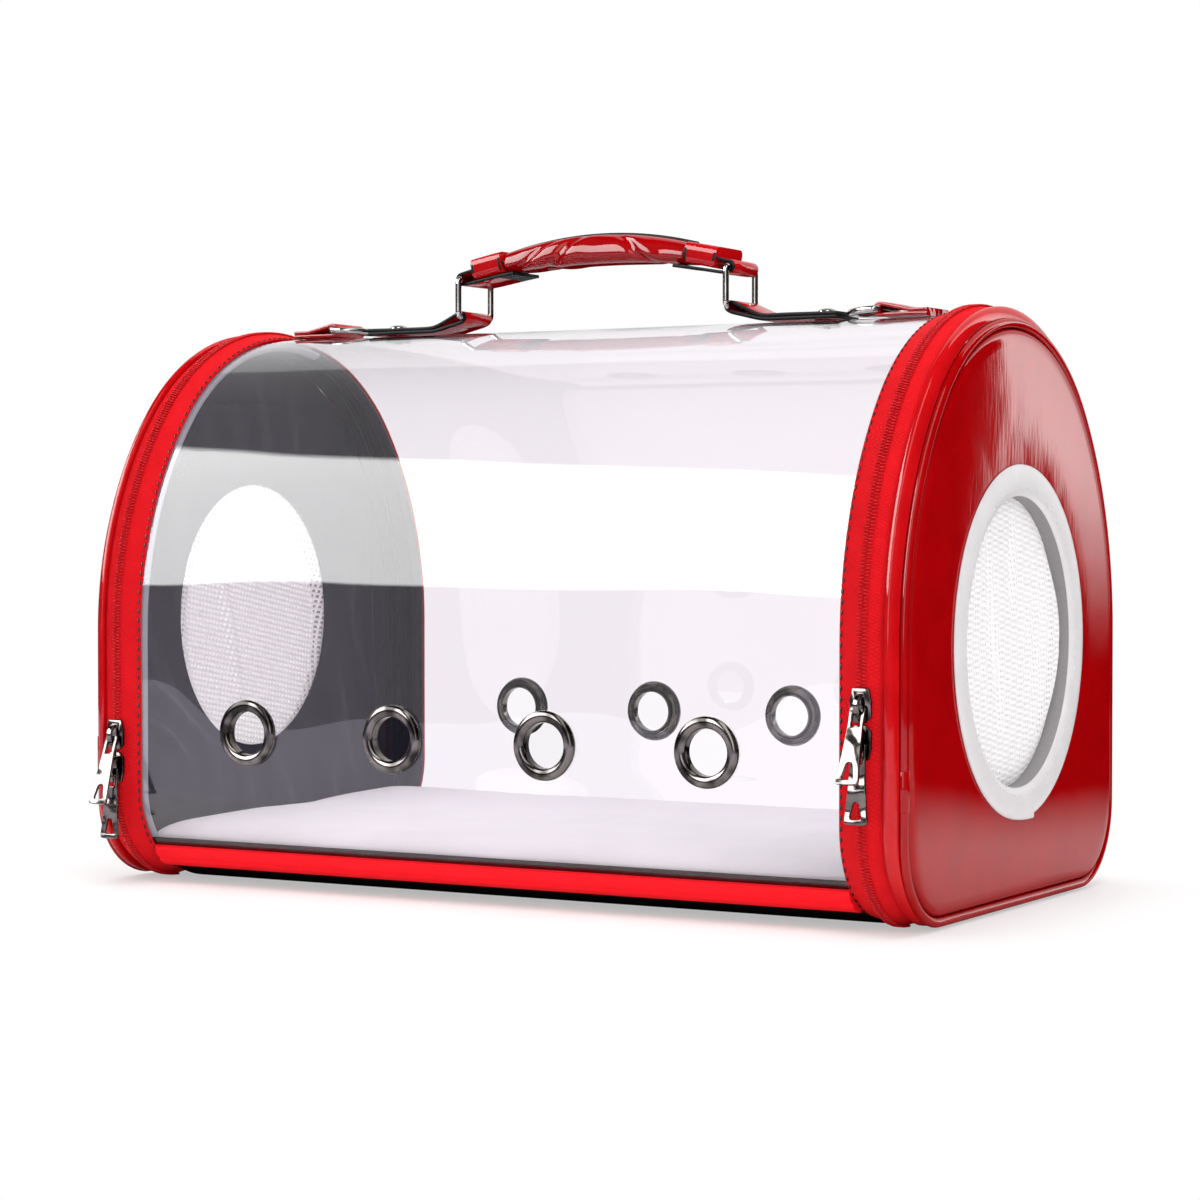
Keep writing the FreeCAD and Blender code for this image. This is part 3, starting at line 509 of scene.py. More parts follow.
def clear_vinyl():
    """Pressed PVC sheet, 1 mm: clear with a faint cool tint, and it lets lamps through."""
    tint = opaque(bpy.context.scene.carrier_colours.sheet)
    material, tree, shader, where = surface("clear_pvc_sheet", base_color=tint, roughness=0.006, ior=1.5,
                                            transmission_weight=1.0)
    # Flow marks of the press, 45 mm wide
    flow = add(tree, "ShaderNodeTexNoise", {"Vector": where, "Scale": per_mm(45), "Detail": 0.0})
    add(tree, "ShaderNodeBump", {"Height": flow.outputs[0], "Distance": 1.0 * MM, "Strength": 0.12},
        to=shader.inputs["Normal"])
    path = add(tree, "ShaderNodeLightPath")
    through = add(tree, "ShaderNodeBsdfTransparent", {"Color": tint})
    output = tree.nodes["Material Output"]
    add(tree, "ShaderNodeMixShader", {0: path.outputs["Is Shadow Ray"], 1: shader.outputs[0],
                                      2: through.outputs[0]}, to=output.inputs["Surface"])
    return material


def soft_vinyl():
    """Pale vinyl strip of the window trim: smooth, waxy, a little cloudy."""
    tone = bpy.context.scene.carrier_colours.trim
    material, tree, shader, where = surface("pale_vinyl_trim", roughness=0.35, specular_ior_level=0.35)
    # Clouds of 14 mm, and ripples of 5 mm where the needle drew it in
    cloud = add(tree, "ShaderNodeTexNoise", {"Vector": where, "Scale": per_mm(14), "Detail": 3.0})
    add(tree, "ShaderNodeMix", {0: cloud.outputs[0], 6: opaque(tone, 0.86), 7: opaque(tone)},
        to=shader.inputs["Base Color"], **COLOUR_MIX)
    ripple = add(tree, "ShaderNodeTexNoise", {"Vector": where, "Scale": per_mm(5), "Detail": 1.0})
    add(tree, "ShaderNodeBump", {"Height": ripple.outputs[0], "Distance": 0.2 * MM, "Strength": 0.3},
        to=shader.inputs["Normal"])
    return material


def yarn(name, tone, rough, grain_mm, shine=0.5):
    """Spun thread, net yarn, board or painted edge: one tone with a fine fleck."""
    material, tree, shader, where = surface(name, roughness=rough, specular_ior_level=shine)
    fleck = add(tree, "ShaderNodeTexNoise", {"Vector": where, "Scale": per_mm(grain_mm), "Detail": 2.0})
    add(tree, "ShaderNodeMix", {0: fleck.outputs[0], 6: opaque(tone, 0.78), 7: opaque(tone)},
        to=shader.inputs["Base Color"], **COLOUR_MIX)
    add(tree, "ShaderNodeBump", {"Height": fleck.outputs[0], "Distance": 0.1 * MM, "Strength": 0.3},
        to=shader.inputs["Normal"])
    return material


def knit(name, tone, row_mm):
    """Warp-knitted polyester net: white; a darker row between each two rows of holes is painted shade of the
    yarns.
    """
    material, tree, shader, where = surface(name, roughness=0.6, specular_ior_level=0.2)
    lean = add(tree, "ShaderNodeMapping", {"Vector": where, "Rotation": (math.radians(NET_LEAN), 0, 0)})
    # Painted shade: a darker band between each two rows of holes
    rows = add(tree, "ShaderNodeTexWave", {"Vector": lean.outputs[0], "Scale": bands_per_mm(row_mm),
                                           "Distortion": 0.6, "Detail": 1.0}, bands_direction="Z")
    add(tree, "ShaderNodeMix", {0: rows.outputs["Fac"], 6: opaque(tone, 0.84), 7: opaque(tone)},
        to=shader.inputs["Base Color"], **COLOUR_MIX)
    add(tree, "ShaderNodeBump", {"Height": rows.outputs["Fac"], "Distance": 0.2 * MM, "Strength": 0.3},
        to=shader.inputs["Normal"])
    return material


FINISHES = {}


def finish(name):
    """One material for each finish, made when it is first asked for."""
    if name not in FINISHES:
        tones = bpy.context.scene.carrier_colours
        makers = {
            "patent": lambda: patent("patent_leather", tones.patent, tones.patent_deep, 30, 0.08),
            "gusset": lambda: patent("gusset_patent_leather", tones.gusset, tones.patent, 30, 0.08),
            "creased_patent": lambda: patent("creased_patent_leather", tones.gusset, tones.patent_deep,
                                             6, 0.5),
            "tape": lambda: woven_tape("woven_zip_tape", tones.tape, tones.tape_deep),
            "band": lambda: woven_tape("woven_base_band", tones.band, tones.band_deep),
            "coil": nylon_coil,
            "lining": lambda: plain_weave("lining_cloth", tones.lining, 1.1, 0.75, "YZ", 0.1),
            "hem": lambda: plain_weave("hem_cloth", tones.hem, 1.1, 0.85, "XZ", 0.0),
            "base": lambda: plain_weave("base_cloth", tones.base, 1.2, 0.8, "XY", 0.0),
            "sleeve": lambda: plain_weave("sleeve_cloth", tones.sleeve, 1.1, 0.6, "XZ", 0.1),
            "mat": fleece,
            "gunmetal": lambda: plated("gunmetal_plate", tones.gunmetal, 0.13, dark=0.15),
            "cast": lambda: plated("cast_gunmetal", tones.gunmetal, 0.16, 2.2),
            "nickel": lambda: plated("nickel_plate", tones.nickel, 0.12),
            "steel": lambda: plated("spring_steel", tones.steel, 0.3),
            "sheet": clear_vinyl,
            "trim": soft_vinyl,
            "net": lambda: knit("knitted_net", tones.net, bpy.context.scene.carrier_sizes.net_pitch / MM),
            "shaded_net_edge": lambda: yarn("net_binding_and_shade", tones.shaded_net_edge, 0.7, 1.2),
            "edge": lambda: yarn("edge_paint", tones.edge, 0.5, 2.0, 0.12),
            "thread": lambda: yarn("sewing_thread", tones.thread, 0.5, 0.5),
            "board": lambda: yarn("grey_board", tones.board, 0.85, 1.5),
        }
        FINISHES[name] = makers[name]()
    return FINISHES[name]


# Modelling helpers

MERGE = (bpy.ops.mesh.remove_doubles, {"threshold": 0.002 * MM})
OUTWARD = (bpy.ops.mesh.normals_make_consistent, {"inside": False})


def deselect():
    """Leave edit mode and select nothing."""
    if bpy.context.object and bpy.context.object.mode != "OBJECT":
        bpy.ops.object.mode_set(mode="OBJECT")
    bpy.ops.object.select_all(action="DESELECT")


def only(piece):
    """Select one piece and make it active."""
    deselect()
    piece.select_set(True)
    bpy.context.view_layer.objects.active = piece


def apply(piece, kind, **settings):
    """Add a modifier, set it up and apply it."""
    only(piece)
    modifier = piece.modifiers.new(kind.title(), kind)
    for key, value in settings.items():
        setattr(modifier, key, value)
    bpy.ops.object.modifier_apply(modifier=modifier.name)


def edit(piece, *steps):
    """Run edit-mode operators on the whole of a piece."""
    only(piece)
    bpy.ops.object.mode_set(mode="EDIT")
    bpy.ops.mesh.select_all(action="SELECT")
    for step, settings in steps:
        step(**settings)
    bpy.ops.object.mode_set(mode="OBJECT")


def run_length(points):
    """Length of a run of points."""
    return float(np.linalg.norm(np.diff(points, axis=0), axis=1).sum())


def laid_grid(name, rows, shell=False):
    """A flat grid cut to the count of the rows, then laid on their points; a shell is closed up."""
    rows = np.asarray(rows, dtype=float)
    across, along = rows.shape[:2]
    deselect()
    bpy.ops.mesh.primitive_grid_add(x_subdivisions=along - 1, y_subdivisions=across - 1, size=1)
    piece = bpy.context.object
    piece.name = name
    piece.data.name = name
    flat = np.empty(len(piece.data.vertices) * 3)
    piece.data.vertices.foreach_get("co", flat)
    flat = flat.reshape(-1, 3)
    at = np.rint((flat[:, :2] + 0.5) * (along - 1, across - 1)).astype(int)
    piece.data.vertices.foreach_set("co", (rows[at[:, 1], at[:, 0]] * MM).ravel())
    # The pattern of a strip follows it, so its UV map is in metres along and across
    size = (run_length(rows[across // 2]) * MM, run_length(rows[:, along // 2]) * MM)
    layer = piece.data.uv_layers.active.data
    uv = np.empty(len(layer) * 2)
    layer.foreach_get("uv", uv)
    layer.foreach_set("uv", (uv.reshape(-1, 2) * size).ravel())
    piece.data.update()
    if shell:
        edit(piece, MERGE, (bpy.ops.mesh.fill_holes, {"sides": 0}), OUTWARD)
    return piece


def drop_faces(piece, numbers):
    """Delete faces by their numbers."""
    flags = [False] * len(piece.data.polygons)
    for number in numbers:
        flags[number] = True
    piece.data.polygons.foreach_set("select", flags)
    piece.data.vertices.foreach_set("select", [False] * len(piece.data.vertices))
    piece.data.edges.foreach_set("select", [False] * len(piece.data.edges))
    only(piece)
    bpy.ops.object.mode_set(mode="EDIT")
    bpy.ops.mesh.select_mode(type="FACE")
    bpy.ops.mesh.delete(type="FACE")
    bpy.ops.mesh.select_mode(type="VERT")
    bpy.ops.object.mode_set(mode="OBJECT")


def joined(name, pieces):
    """Join pieces into one."""
    deselect()
    for piece in pieces:
        piece.select_set(True)
    bpy.context.view_layer.objects.active = pieces[0]
    if len(pieces) > 1:
        bpy.ops.object.join()
    pieces[0].name = name
    pieces[0].data.name = name
    return pieces[0]


def settle(piece, body, materials, nodes=(), angle=40):
    """Shade a finished piece, give it its materials, and hand it to the frame."""
    if not piece.data.polygons:
        raise RuntimeError(piece.name + " came out with no faces")
    only(piece)
    bpy.ops.object.shade_smooth_by_angle(angle=math.radians(angle))
    indices = [face.material_index for face in piece.data.polygons]
    piece.data.materials.clear()
    for name in materials:
        piece.data.materials.append(finish(name))
    piece.data.polygons.foreach_set("material_index", [min(i, len(materials) - 1) for i in indices])
    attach(piece, body)
    if nodes:
        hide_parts(*nodes)
    return piece


def paint(piece, index, chosen):
    """Give the faces that a test picks, by centre in millimetres and normal, another of the materials."""
    while len(piece.data.materials) <= index:
        piece.data.materials.append(None)
    for face in piece.data.polygons:
        if chosen(face.center / MM, face.normal):
            face.material_index = index


def arc(centre, radius, start, end, count):
    """Points and normals on an arc, angles in degrees."""
    turn = np.radians(np.linspace(start, end, count + 1))
    normals = np.column_stack([np.cos(turn), np.sin(turn)])
    return np.asarray(centre) + radius * normals, normals


def hump(value, middle, half):
    """Bell curve of height 1."""
    return math.exp(-((value - middle) / half) ** 2)


def lengthwise(stations, outline):
    """Rows of points along X for an outline of (y, z)."""
    count = len(stations)
    return [np.column_stack([stations, np.full(count, y), np.full(count, z)]) for y, z in outline]


def section(offset, floor=None, low=None, closed=False):
    """Points and outward normals round the arch, from the front corner over the crown to the rear corner."""
    floor = BASE_LINE - offset if floor is None else floor
    corner = CORNER_RADIUS + offset
    middle = floor + corner
    begin = 270 if low is None else 180 + math.degrees(math.asin((middle - low) / corner))
    flank = FLANK_RADIUS + offset
    flank_middle = FLANK_RADIUS - HALF_WIDTH
    wall = HALF_WIDTH + offset
    rise = np.linspace(middle, SPRING_HEIGHT, WALL_POINTS)
    upright = np.full(WALL_POINTS, wall)
    front = (np.column_stack([-upright, rise]), np.tile((-1.0, 0.0), (WALL_POINTS, 1)))
    rear = (np.column_stack([upright, rise[::-1]]), np.tile((1.0, 0.0), (WALL_POINTS, 1)))
    runs = [
        arc((-SILL_HALF, middle), corner, begin, 180, CORNER_STEPS),
        front,
        arc((flank_middle, SPRING_HEIGHT), flank, 180, 180 - FLANK_ANGLE, FLANK_STEPS),
        arc((0, BODY_HEIGHT - CROWN_RADIUS), CROWN_RADIUS + offset, 180 - FLANK_ANGLE, FLANK_ANGLE,
            CROWN_STEPS),
        arc((-flank_middle, SPRING_HEIGHT), flank, FLANK_ANGLE, 0, FLANK_STEPS),
        rear,
        arc((SILL_HALF, middle), corner, 0, 180 - begin, CORNER_STEPS),
    ]
    if closed:
        across = np.linspace(SILL_HALF, -SILL_HALF, FLOOR_POINTS)
        level = np.full(FLOOR_POINTS, floor)
        runs.append((np.column_stack([across, level]), np.tile((0.0, -1.0), (FLOOR_POINTS, 1))))
    points = np.concatenate([runs[0][0]] + [run[0][1:] for run in runs[1:]])
    normals = np.concatenate([runs[0][1]] + [run[1][1:] for run in runs[1:]])
    return points, normals


def round_arch(profile, low=None, closed=False, side=1):
    """Rows of points for a profile of (x, offset, floor) taken round the arch."""
    rows = []
    for x, offset, *floor in profile:
        points = section(offset, floor[0] if floor else None, low, closed)[0]
        rows.append(np.column_stack([np.full(len(points), side * x), points]))
    return np.array(rows)


def rounded(low, high, bottom, top, radius, steps=3):
    """Closed rounded rectangle, first point repeated at the end."""
    points = []
    corners = ((high - radius, top - radius, 0), (low + radius, top - radius, 90),
               (low + radius, bottom + radius, 180), (high - radius, bottom + radius, 270))
    for x, y, start in corners:
        for step in range(steps + 1):
            turn = math.radians(start + 90 * step / steps)
            points.append((x + radius * math.cos(turn), y + radius * math.sin(turn)))
    return points + points[:1]


def ring_profile(centre, half, count):
    """Closed oval, first point repeated at the end."""
    turns = [2 * math.pi * at / count for at in range(count)]
    points = [(centre[0] + half[0] * math.cos(turn), centre[1] + half[1] * math.sin(turn)) for turn in turns]
    return points + points[:1]


def arch_strip(name, profile, side=1, low=None, closed=False):
    """Closed strip of a profile round the arch."""
    return laid_grid(name, round_arch(profile, low, closed, side), shell=True)


def path_frames(x, offset, pitch, side=1, low=None, phase=0.5):
    """Evenly spaced places round the arch: origin, direction along it and outward normal."""
    points, normals = section(offset, None, low)
    steps = np.linalg.norm(np.diff(points, axis=0), axis=1)
    reach = np.concatenate([[0], np.cumsum(steps)])
    count = int(reach[-1] / pitch)
    at = (np.arange(count) + phase) * reach[-1] / count
    spots = np.column_stack([np.full(count, side * x)] + [np.interp(at, reach, points[:, k]) for k in (0, 1)])
    outward = np.column_stack([np.zeros(count)] + [np.interp(at, reach, normals[:, k]) for k in (0, 1)])
    outward /= np.linalg.norm(outward, axis=1)[:, None]
    tangent = np.column_stack([np.zeros(count), outward[:, 2], -outward[:, 1]])
    return spots, tangent, outward


def bead(half_long, half_wide, half_high):
    """Rounded bead of a few dozen faces, long along X, for stitches and coil turns."""
    deselect()
    bpy.ops.mesh.primitive_uv_sphere_add(segments=6, ring_count=5, radius=MM, rotation=(0, math.pi / 2, 0))
    piece = bpy.context.object
    bpy.ops.object.transform_apply(location=False, rotation=True, scale=False)
    bpy.ops.object.mode_set(mode="EDIT")
    bpy.ops.mesh.select_all(action="SELECT")
    bpy.ops.transform.resize(value=(half_long, half_wide, half_high))
    bpy.ops.object.mode_set(mode="OBJECT")
    return piece


def copies(name, model, spots, long_way, up):
    """Copy a bead to every place, its length along one direction and its height along another."""
    shape = np.array([vertex.co[:] for vertex in model.data.vertices])
    faces = [list(face.vertices) for face in model.data.polygons]
    long_way = np.asarray(long_way, dtype=float)
    up = np.asarray(up, dtype=float)
    wide = np.cross(up, long_way)
    axes = np.stack([long_way, wide, up], axis=1)
    points = np.einsum("vk,nkc->nvc", shape, axes) + np.asarray(spots)[:, None] * MM
    count = len(shape)
    every = [[corner + count * number for corner in face] for number in range(len(spots)) for face in faces]
    mesh = bpy.data.meshes.new(name)
    mesh.from_pydata(points.reshape(-1, 3).tolist(), [], every)
    mesh.update()
    bpy.data.objects.remove(model, do_unlink=True)
    piece = bpy.data.objects.new(name, mesh)
    bpy.context.collection.objects.link(piece)
    edit(piece, OUTWARD)
    return piece


def stitch_line(name, rows):
    """Stitches along one or more runs of (spots, direction, normal)."""
    sizes = bpy.context.scene.carrier_sizes
    model = bead(sizes.stitch / MM / 2, *STITCH_HALF)
    spots, tangent, outward = (np.concatenate(group) for group in zip(*rows))
    return copies(name, model, spots, tangent, outward)


def turned(name, profile, steps):
    """Turn a closed profile of (radius, height) about Z, as on a lathe."""
    mesh = bpy.data.meshes.new(name)
    count = len(profile)
    points = [(radius * MM, 0, height * MM) for radius, height in profile]
    mesh.from_pydata(points, [(at, (at + 1) % count) for at in range(count)], [])
    piece = bpy.data.objects.new(name, mesh)
    bpy.context.collection.objects.link(piece)
    whole_turn = {"steps": steps, "angle": 2 * math.pi, "center": (0, 0, 0), "axis": (0, 0, 1)}
    edit(piece, (bpy.ops.mesh.spin, whole_turn), (bpy.ops.mesh.select_all, {"action": "SELECT"}),
         MERGE, OUTWARD)
    return piece


def set_down(model, places):
    """Copy a model to each place, every copy with its own mesh, and drop the model."""
    pieces = []
    for matrix in places:
        piece = model.copy()
        piece.data = model.data.copy()
        bpy.context.collection.objects.link(piece)
        piece.data.transform(matrix)
        pieces.append(piece)
    bpy.data.objects.remove(model, do_unlink=True)
    return pieces


def refined(node, width_mm):
    """Copy of a metal CAD node with its facets merged and its edges rounded."""
    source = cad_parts[node]
    piece = bpy.data.objects.new(node + "_finished", source.data.copy())
    bpy.context.collection.objects.link(piece)
    edit(piece, (bpy.ops.mesh.remove_doubles, {"threshold": 0.001 * MM}),
         (bpy.ops.mesh.dissolve_limited, {"angle_limit": math.radians(1)}))
    apply(piece, "BEVEL", width=width_mm * MM, segments=2, limit_method="ANGLE", angle_limit=math.radians(32))
    return piece


def ribbon(name, path, half_width, half_thick, wave=0.0):
    """Flat strap along a path of (x, z), with rounded edges; wave lets the soft edges lift a little."""
    path = np.asarray(path, dtype=float)
    way = np.gradient(path, axis=0)
    way /= np.linalg.norm(way, axis=1)[:, None]
    normal = np.column_stack([-way[:, 1], way[:, 0]])
    rows = []
    for y, out in rounded(-half_width, half_width, -half_thick, half_thick, 0.7 * half_thick, 2):
        lift = [wave * noise.noise(Vector((x * 0.07, y * 0.06, z * 0.07))) for x, z in path]
        flat = path + normal * (out + np.array(lift))[:, None]
        rows.append(np.column_stack([flat[:, 0], np.full(len(path), y), flat[:, 1]]))
    return laid_grid(name, rows, shell=True)


def smooth_path(points, count):
    """Evenly resample a run of points."""
    points = np.asarray(points, dtype=float)
    reach = np.concatenate([[0], np.cumsum(np.linalg.norm(np.diff(points, axis=0), axis=1))])
    at = np.linspace(0, reach[-1], count)
    return np.column_stack([np.interp(at, reach, points[:, k]) for k in range(points.shape[1])])


def oval_rows(profile, side, count=96):
    """Rows of points for a profile of (growth, x) taken round the window."""
    turn = np.linspace(0, 2 * math.pi, count + 1)
    rows = []
    for growth, x in profile:
        rows.append(np.column_stack([np.full(count + 1, side * x), (WINDOW_HALF[0] + growth) * np.cos(turn),
                                     WINDOW_HEIGHT + (WINDOW_HALF[1] + growth) * np.sin(turn)]))
    return np.array(rows)


def window_points(points, growth):
    """Points of the window's oval, each in line with a point of the rim."""
    half = np.array(WINDOW_HALF) + growth
    ray = points - (0, WINDOW_HEIGHT)
    return (0, WINDOW_HEIGHT) + ray / np.linalg.norm(ray / half, axis=1)[:, None]


# Pieces

def make_clear_sheet():
    """One sheet bent over the arch, slightly rippled, with holes for the eyelets."""
    sizes = bpy.context.scene.carrier_sizes
    stations = np.linspace(-SHEET_END, SHEET_END, SHEET_ROWS)
    rows = round_arch([(x, SHEET_MIDDLE) for x in stations], low=SHEET_LOW)
    normals = section(SHEET_MIDDLE, None, SHEET_LOW)[1]
    for row in rows:
        for point, normal in zip(row, normals):
            x, y, z = point
            ripple = SHEET_RIPPLE * noise.noise(Vector((x * 0.012, y * 0.02, z * 0.02)))
            bow = hump(abs(x), *BOW_OUT) - 0.5 * hump(abs(x), *BOW_IN)
            ripple += SHEET_BOW * bow * hump(z, *BOW_HEIGHT)
            point[1:] += normal * ripple
    sheet = laid_grid("clear_sheet", rows)
    apply(sheet, "SOLIDIFY", thickness=sizes.sheet, offset=0)
    edit(sheet, OUTWARD)
    deselect()
    punches = []
    for x, side in eyelet_places():
        bpy.ops.mesh.primitive_cylinder_add(vertices=48, radius=PUNCH_RADIUS * MM, depth=PUNCH_DEPTH * MM,
                                            rotation=(math.pi / 2, 0, 0),
                                            location=(x * MM, side * HALF_WIDTH * MM, EYELET_HEIGHT * MM))
        punches.append(bpy.context.object)
    punch = joined("punch", punches)
    apply(sheet, "BOOLEAN", object=punch, operation="DIFFERENCE", solver="EXACT")
    bpy.data.objects.remove(punch, do_unlink=True)
    settle(sheet, "carrier", ["sheet"], ["clear_canopy"])


def eyelet_places():
    """Place along X and side of each eyelet."""
    middle = (EYELET_COUNT - 1) / 2
    return [((index - middle) * EYELET_PITCH, side) for index in range(EYELET_COUNT) for side in (-1, 1)]


def make_base():
    """Black cover under the floor, red bands along it, and the lining tray with its hem above the bands."""
    stations = np.linspace(-BASE_END, BASE_END, BASE_ROWS)
    # Flat where it stands, curved up to the lower edge of the bands
    curve = arc((COVER_MIDDLE, COVER_RADIUS), COVER_RADIUS, -COVER_SWEEP, -90, 8)[0]
    inner = arc((SILL_HALF, CORNER_HEIGHT), COVER_INNER, -90, -COVER_INNER_SWEEP, 6)[0]
    half = np.concatenate([curve, [(COVER_FOOT, 0), (0, 0)]])
    mirror = half[-2::-1] * (-1, 1)
    outline = np.concatenate([half, mirror, inner[::-1] * (-1, 1), inner, half[:1]])
    cover = laid_grid("black_base", lengthwise(stations, outline), shell=True)
    settle(cover, "carrier", ["base"], ["base_cover"])
    # Bands with a stitched groove along their middle
    low, high = (math.degrees(math.asin((CORNER_HEIGHT - height) / BAND_RADIUS)) for height in BAND_HEIGHTS)
    shape = []
    for share in np.linspace(0, 1, 33):
        crown = BAND_EDGE + BAND_SWELL * math.sin(math.pi * share) ** 0.8
        shape.append((low + (high - low) * share, crown - BAND_GROOVE * hump(share, *GROOVE_PLACE)))
    shape += [(high, BAND_FOOT), (low, BAND_FOOT)]
    shape.append(shape[0])
    bands = []
    for side in (-1, 1):
        outline = []
        for angle, out in shape:
            turn = math.radians(angle)
            reach = CORNER_RADIUS + out
            y = side * (SILL_HALF + reach * math.cos(turn))
            outline.append((y, CORNER_HEIGHT - reach * math.sin(turn)))
        bands.append(laid_grid("band", lengthwise(stations, outline), shell=True))
    settle(joined("red_bands", bands), "carrier", ["band"], ["base_bands"])
    # Lining tray with its hem just above the band
    corner = CORNER_RADIUS + TRAY_OFFSET
    top = math.degrees(math.asin((CORNER_HEIGHT - HEM_HEIGHT) / corner))
    front = arc((-SILL_HALF, CORNER_HEIGHT), corner, 180 + top, 270, 10)[0]
    rear = arc((SILL_HALF, CORNER_HEIGHT), corner, -90, -top, 10)[0]
    outline = np.concatenate([front, rear])
    tray = laid_grid("lining_tray", lengthwise(np.linspace(-SHEET_END, SHEET_END, BASE_ROWS), outline))
    apply(tray, "SOLIDIFY", thickness=CLOTH * MM, offset=0)
    edit(tray, OUTWARD)
    settle(tray, "carrier", ["hem"], ["base_lining"])


def make_mat():
    """Fleece pad without quilting, swelled by a short cloth run."""
    low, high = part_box("floor_mat")
    middle = [(a + b) / 2 for a, b in zip(low, high)]
    size = [b - a for a, b in zip(low, high)]
    deselect()
    bpy.ops.mesh.primitive_cube_add(size=1, location=middle)
    mat = bpy.context.object
    mat.name = "fleece_mat"
    mat.data.name = mat.name
    mat.scale = [side + spare * MM for side, spare in zip(size, MAT_SPARE)]
    bpy.ops.object.transform_apply(location=True, rotation=False, scale=True)
    for edge in mat.data.edges:
        ends = [mat.data.vertices[at].co for at in edge.vertices]
        edge.select = abs(ends[0].z - ends[1].z) > size[2] / 3
    only(mat)
    bpy.ops.object.mode_set(mode="EDIT")
    bpy.ops.mesh.bevel(offset=MAT_CORNER * MM, segments=5, affect="EDGES")
    bpy.ops.object.mode_set(mode="OBJECT")
    apply(mat, "BEVEL", width=MAT_EDGE * MM, segments=3, limit_method="ANGLE", angle_limit=math.radians(50))
    apply(mat, "REMESH", mode="VOXEL", voxel_size=MAT_VOXEL * MM)
    start = np.array([vertex.co[:] for vertex in mat.data.vertices])
    only(mat)
    cloth = mat.modifiers.new("Swell", "CLOTH")
    cloth.settings.use_pressure = True
    cloth.settings.uniform_pressure_force = MAT_PRESSURE
    cloth.settings.effector_weights.gravity = 0
    scene = bpy.context.scene
    for number in range(1, MAT_STEPS + 1):
        scene.frame_set(number)
    bpy.ops.object.modifier_apply(modifier=cloth.name)
    scene.frame_set(1)
    # The pad stays on the board and inside the lining
    cap = MAT_SWELL * MM
    for vertex, rest in zip(mat.data.vertices, start):
        move = vertex.co - Vector(rest)
        if move.length > cap:
            move *= cap / move.length
        spot = Vector(rest) + move
        spot.z = min(max(spot.z, low[2]), high[2] + MAT_CROWN * MM)
        # The rear edge curls up a little against the sheet
        lift = (MAT_LIFT[0] + MAT_LIFT[1] * (spot.y / (MAT_HALF * MM) + 1) / 2) * MM
        spot.z += lift * max(0, (spot.z - low[2]) / size[2])
        rise = min(1, max(0, (spot.z - low[2]) / (MAT_LEAN[1] * MM)))
        lean = MAT_FOOT * MM + MAT_LEAN[0] * MM * rise
        # It fills its corners
        spot.x = min(max(MAT_FILL[0] * spot.x, -MAT_REACH * MM), MAT_REACH * MM)
        spot.y = min(max(MAT_FILL[1] * spot.y, -lean), lean)
        vertex.co = spot
    apply(mat, "SUBSURF", levels=1, render_levels=1)
    settle(mat, "mat", ["mat"], ["floor_mat"], angle=180)


def make_end_seams():
    """Bindings, hoop sleeves, tapes, coils and sills of the body, and the lining that covers its seams."""
    bindings = []
    sleeves = []
    for name, side in SIDES:
        bindings.append(arch_strip("binding", rounded(*BINDING), side, closed=True))
        sleeves.append(arch_strip("sleeve", ring_profile(*SLEEVE, 12), side, low=SLEEVE_LOW))
        tape = arch_strip(name + "_body_zip_tape", BODY_TAPE + BODY_TAPE[:1], side)
        settle(tape, "carrier", ["tape"], [name + "_body_tape"])
        across = np.linspace(-SILL_HALF, SILL_HALF, 9)
        rows = [np.column_stack([np.full(9, side * x), across, np.full(9, z)]) for x, z in rounded(*SILL)]
        sill = laid_grid(name + "_sill_strip", rows, shell=True)
        settle(sill, "carrier", ["patent"], [name + "_sill"])
        make_coil(name + "_body_coil", side, BODY_COIL_X, 0.0, "carrier")
        cover = arch_strip(name + "_seam_cover", SEAM_COVER + SEAM_COVER[:1], side)
        settle(cover, "carrier", ["lining"], angle=60)
    settle(joined("end_bindings", bindings), "carrier", ["tape"], ["edge_bindings"])
    tubes = joined("hoop_tubes", sleeves)
    # Painted shade: away from the front the sleeves are given the dark lining cloth for the shade they lie
    # in; in front they keep the pale sleeve cloth
    paint(tubes, 1, lambda at, normal: at.y > SLEEVE_SHADE_START)
    settle(tubes, "carrier", ["sleeve", "lining"], ["hoop_sleeves"])


def make_coil(node, side, x, phase, body):
    """Half of a zip: turns of filament across the tape, each a rounded bead between two of the other half."""
    sizes = bpy.context.scene.carrier_sizes
    spots, _, outward = path_frames(x, COIL_OFFSET, sizes.coil_pitch / MM, side, phase=phase)
    across = np.tile((1.0, 0.0, 0.0), (len(spots), 1))
    coil = copies(node + "_turns", bead(*COIL_TURN), spots, across, outward)
    settle(coil, body, ["coil"], [node], angle=180)


def make_end_panels():
    """Each end panel from the zip tape to the window."""
    for name, side in SIDES:
        body = name + "_door"
        tape = arch_strip(name + "_door_zip_tape", DOOR_TAPE + DOOR_TAPE[:1], side)
        settle(tape, body, ["tape"], [name + "_door_tape"])
        make_coil(name + "_door_coil", side, DOOR_COIL_X, 0.5, body)
        cover = arch_strip(name + "_gusset_cover", GUSSET_COVER + GUSSET_COVER[:1], side)
        settle(cover, body, ["lining"], angle=60)
        # Patent strip that turns in from the tape to the piping
        gusset = arch_strip(name + "_gusset_strip", GUSSET + GUSSET[:1], side)
        settle(gusset, body, ["gusset"], [name + "_door_gusset"])
        make_piping(name, side, body)
        make_face(name, side, body)
        make_lining(name, side, body)
        make_trim(name, side, body)
        make_net(name, side, body)


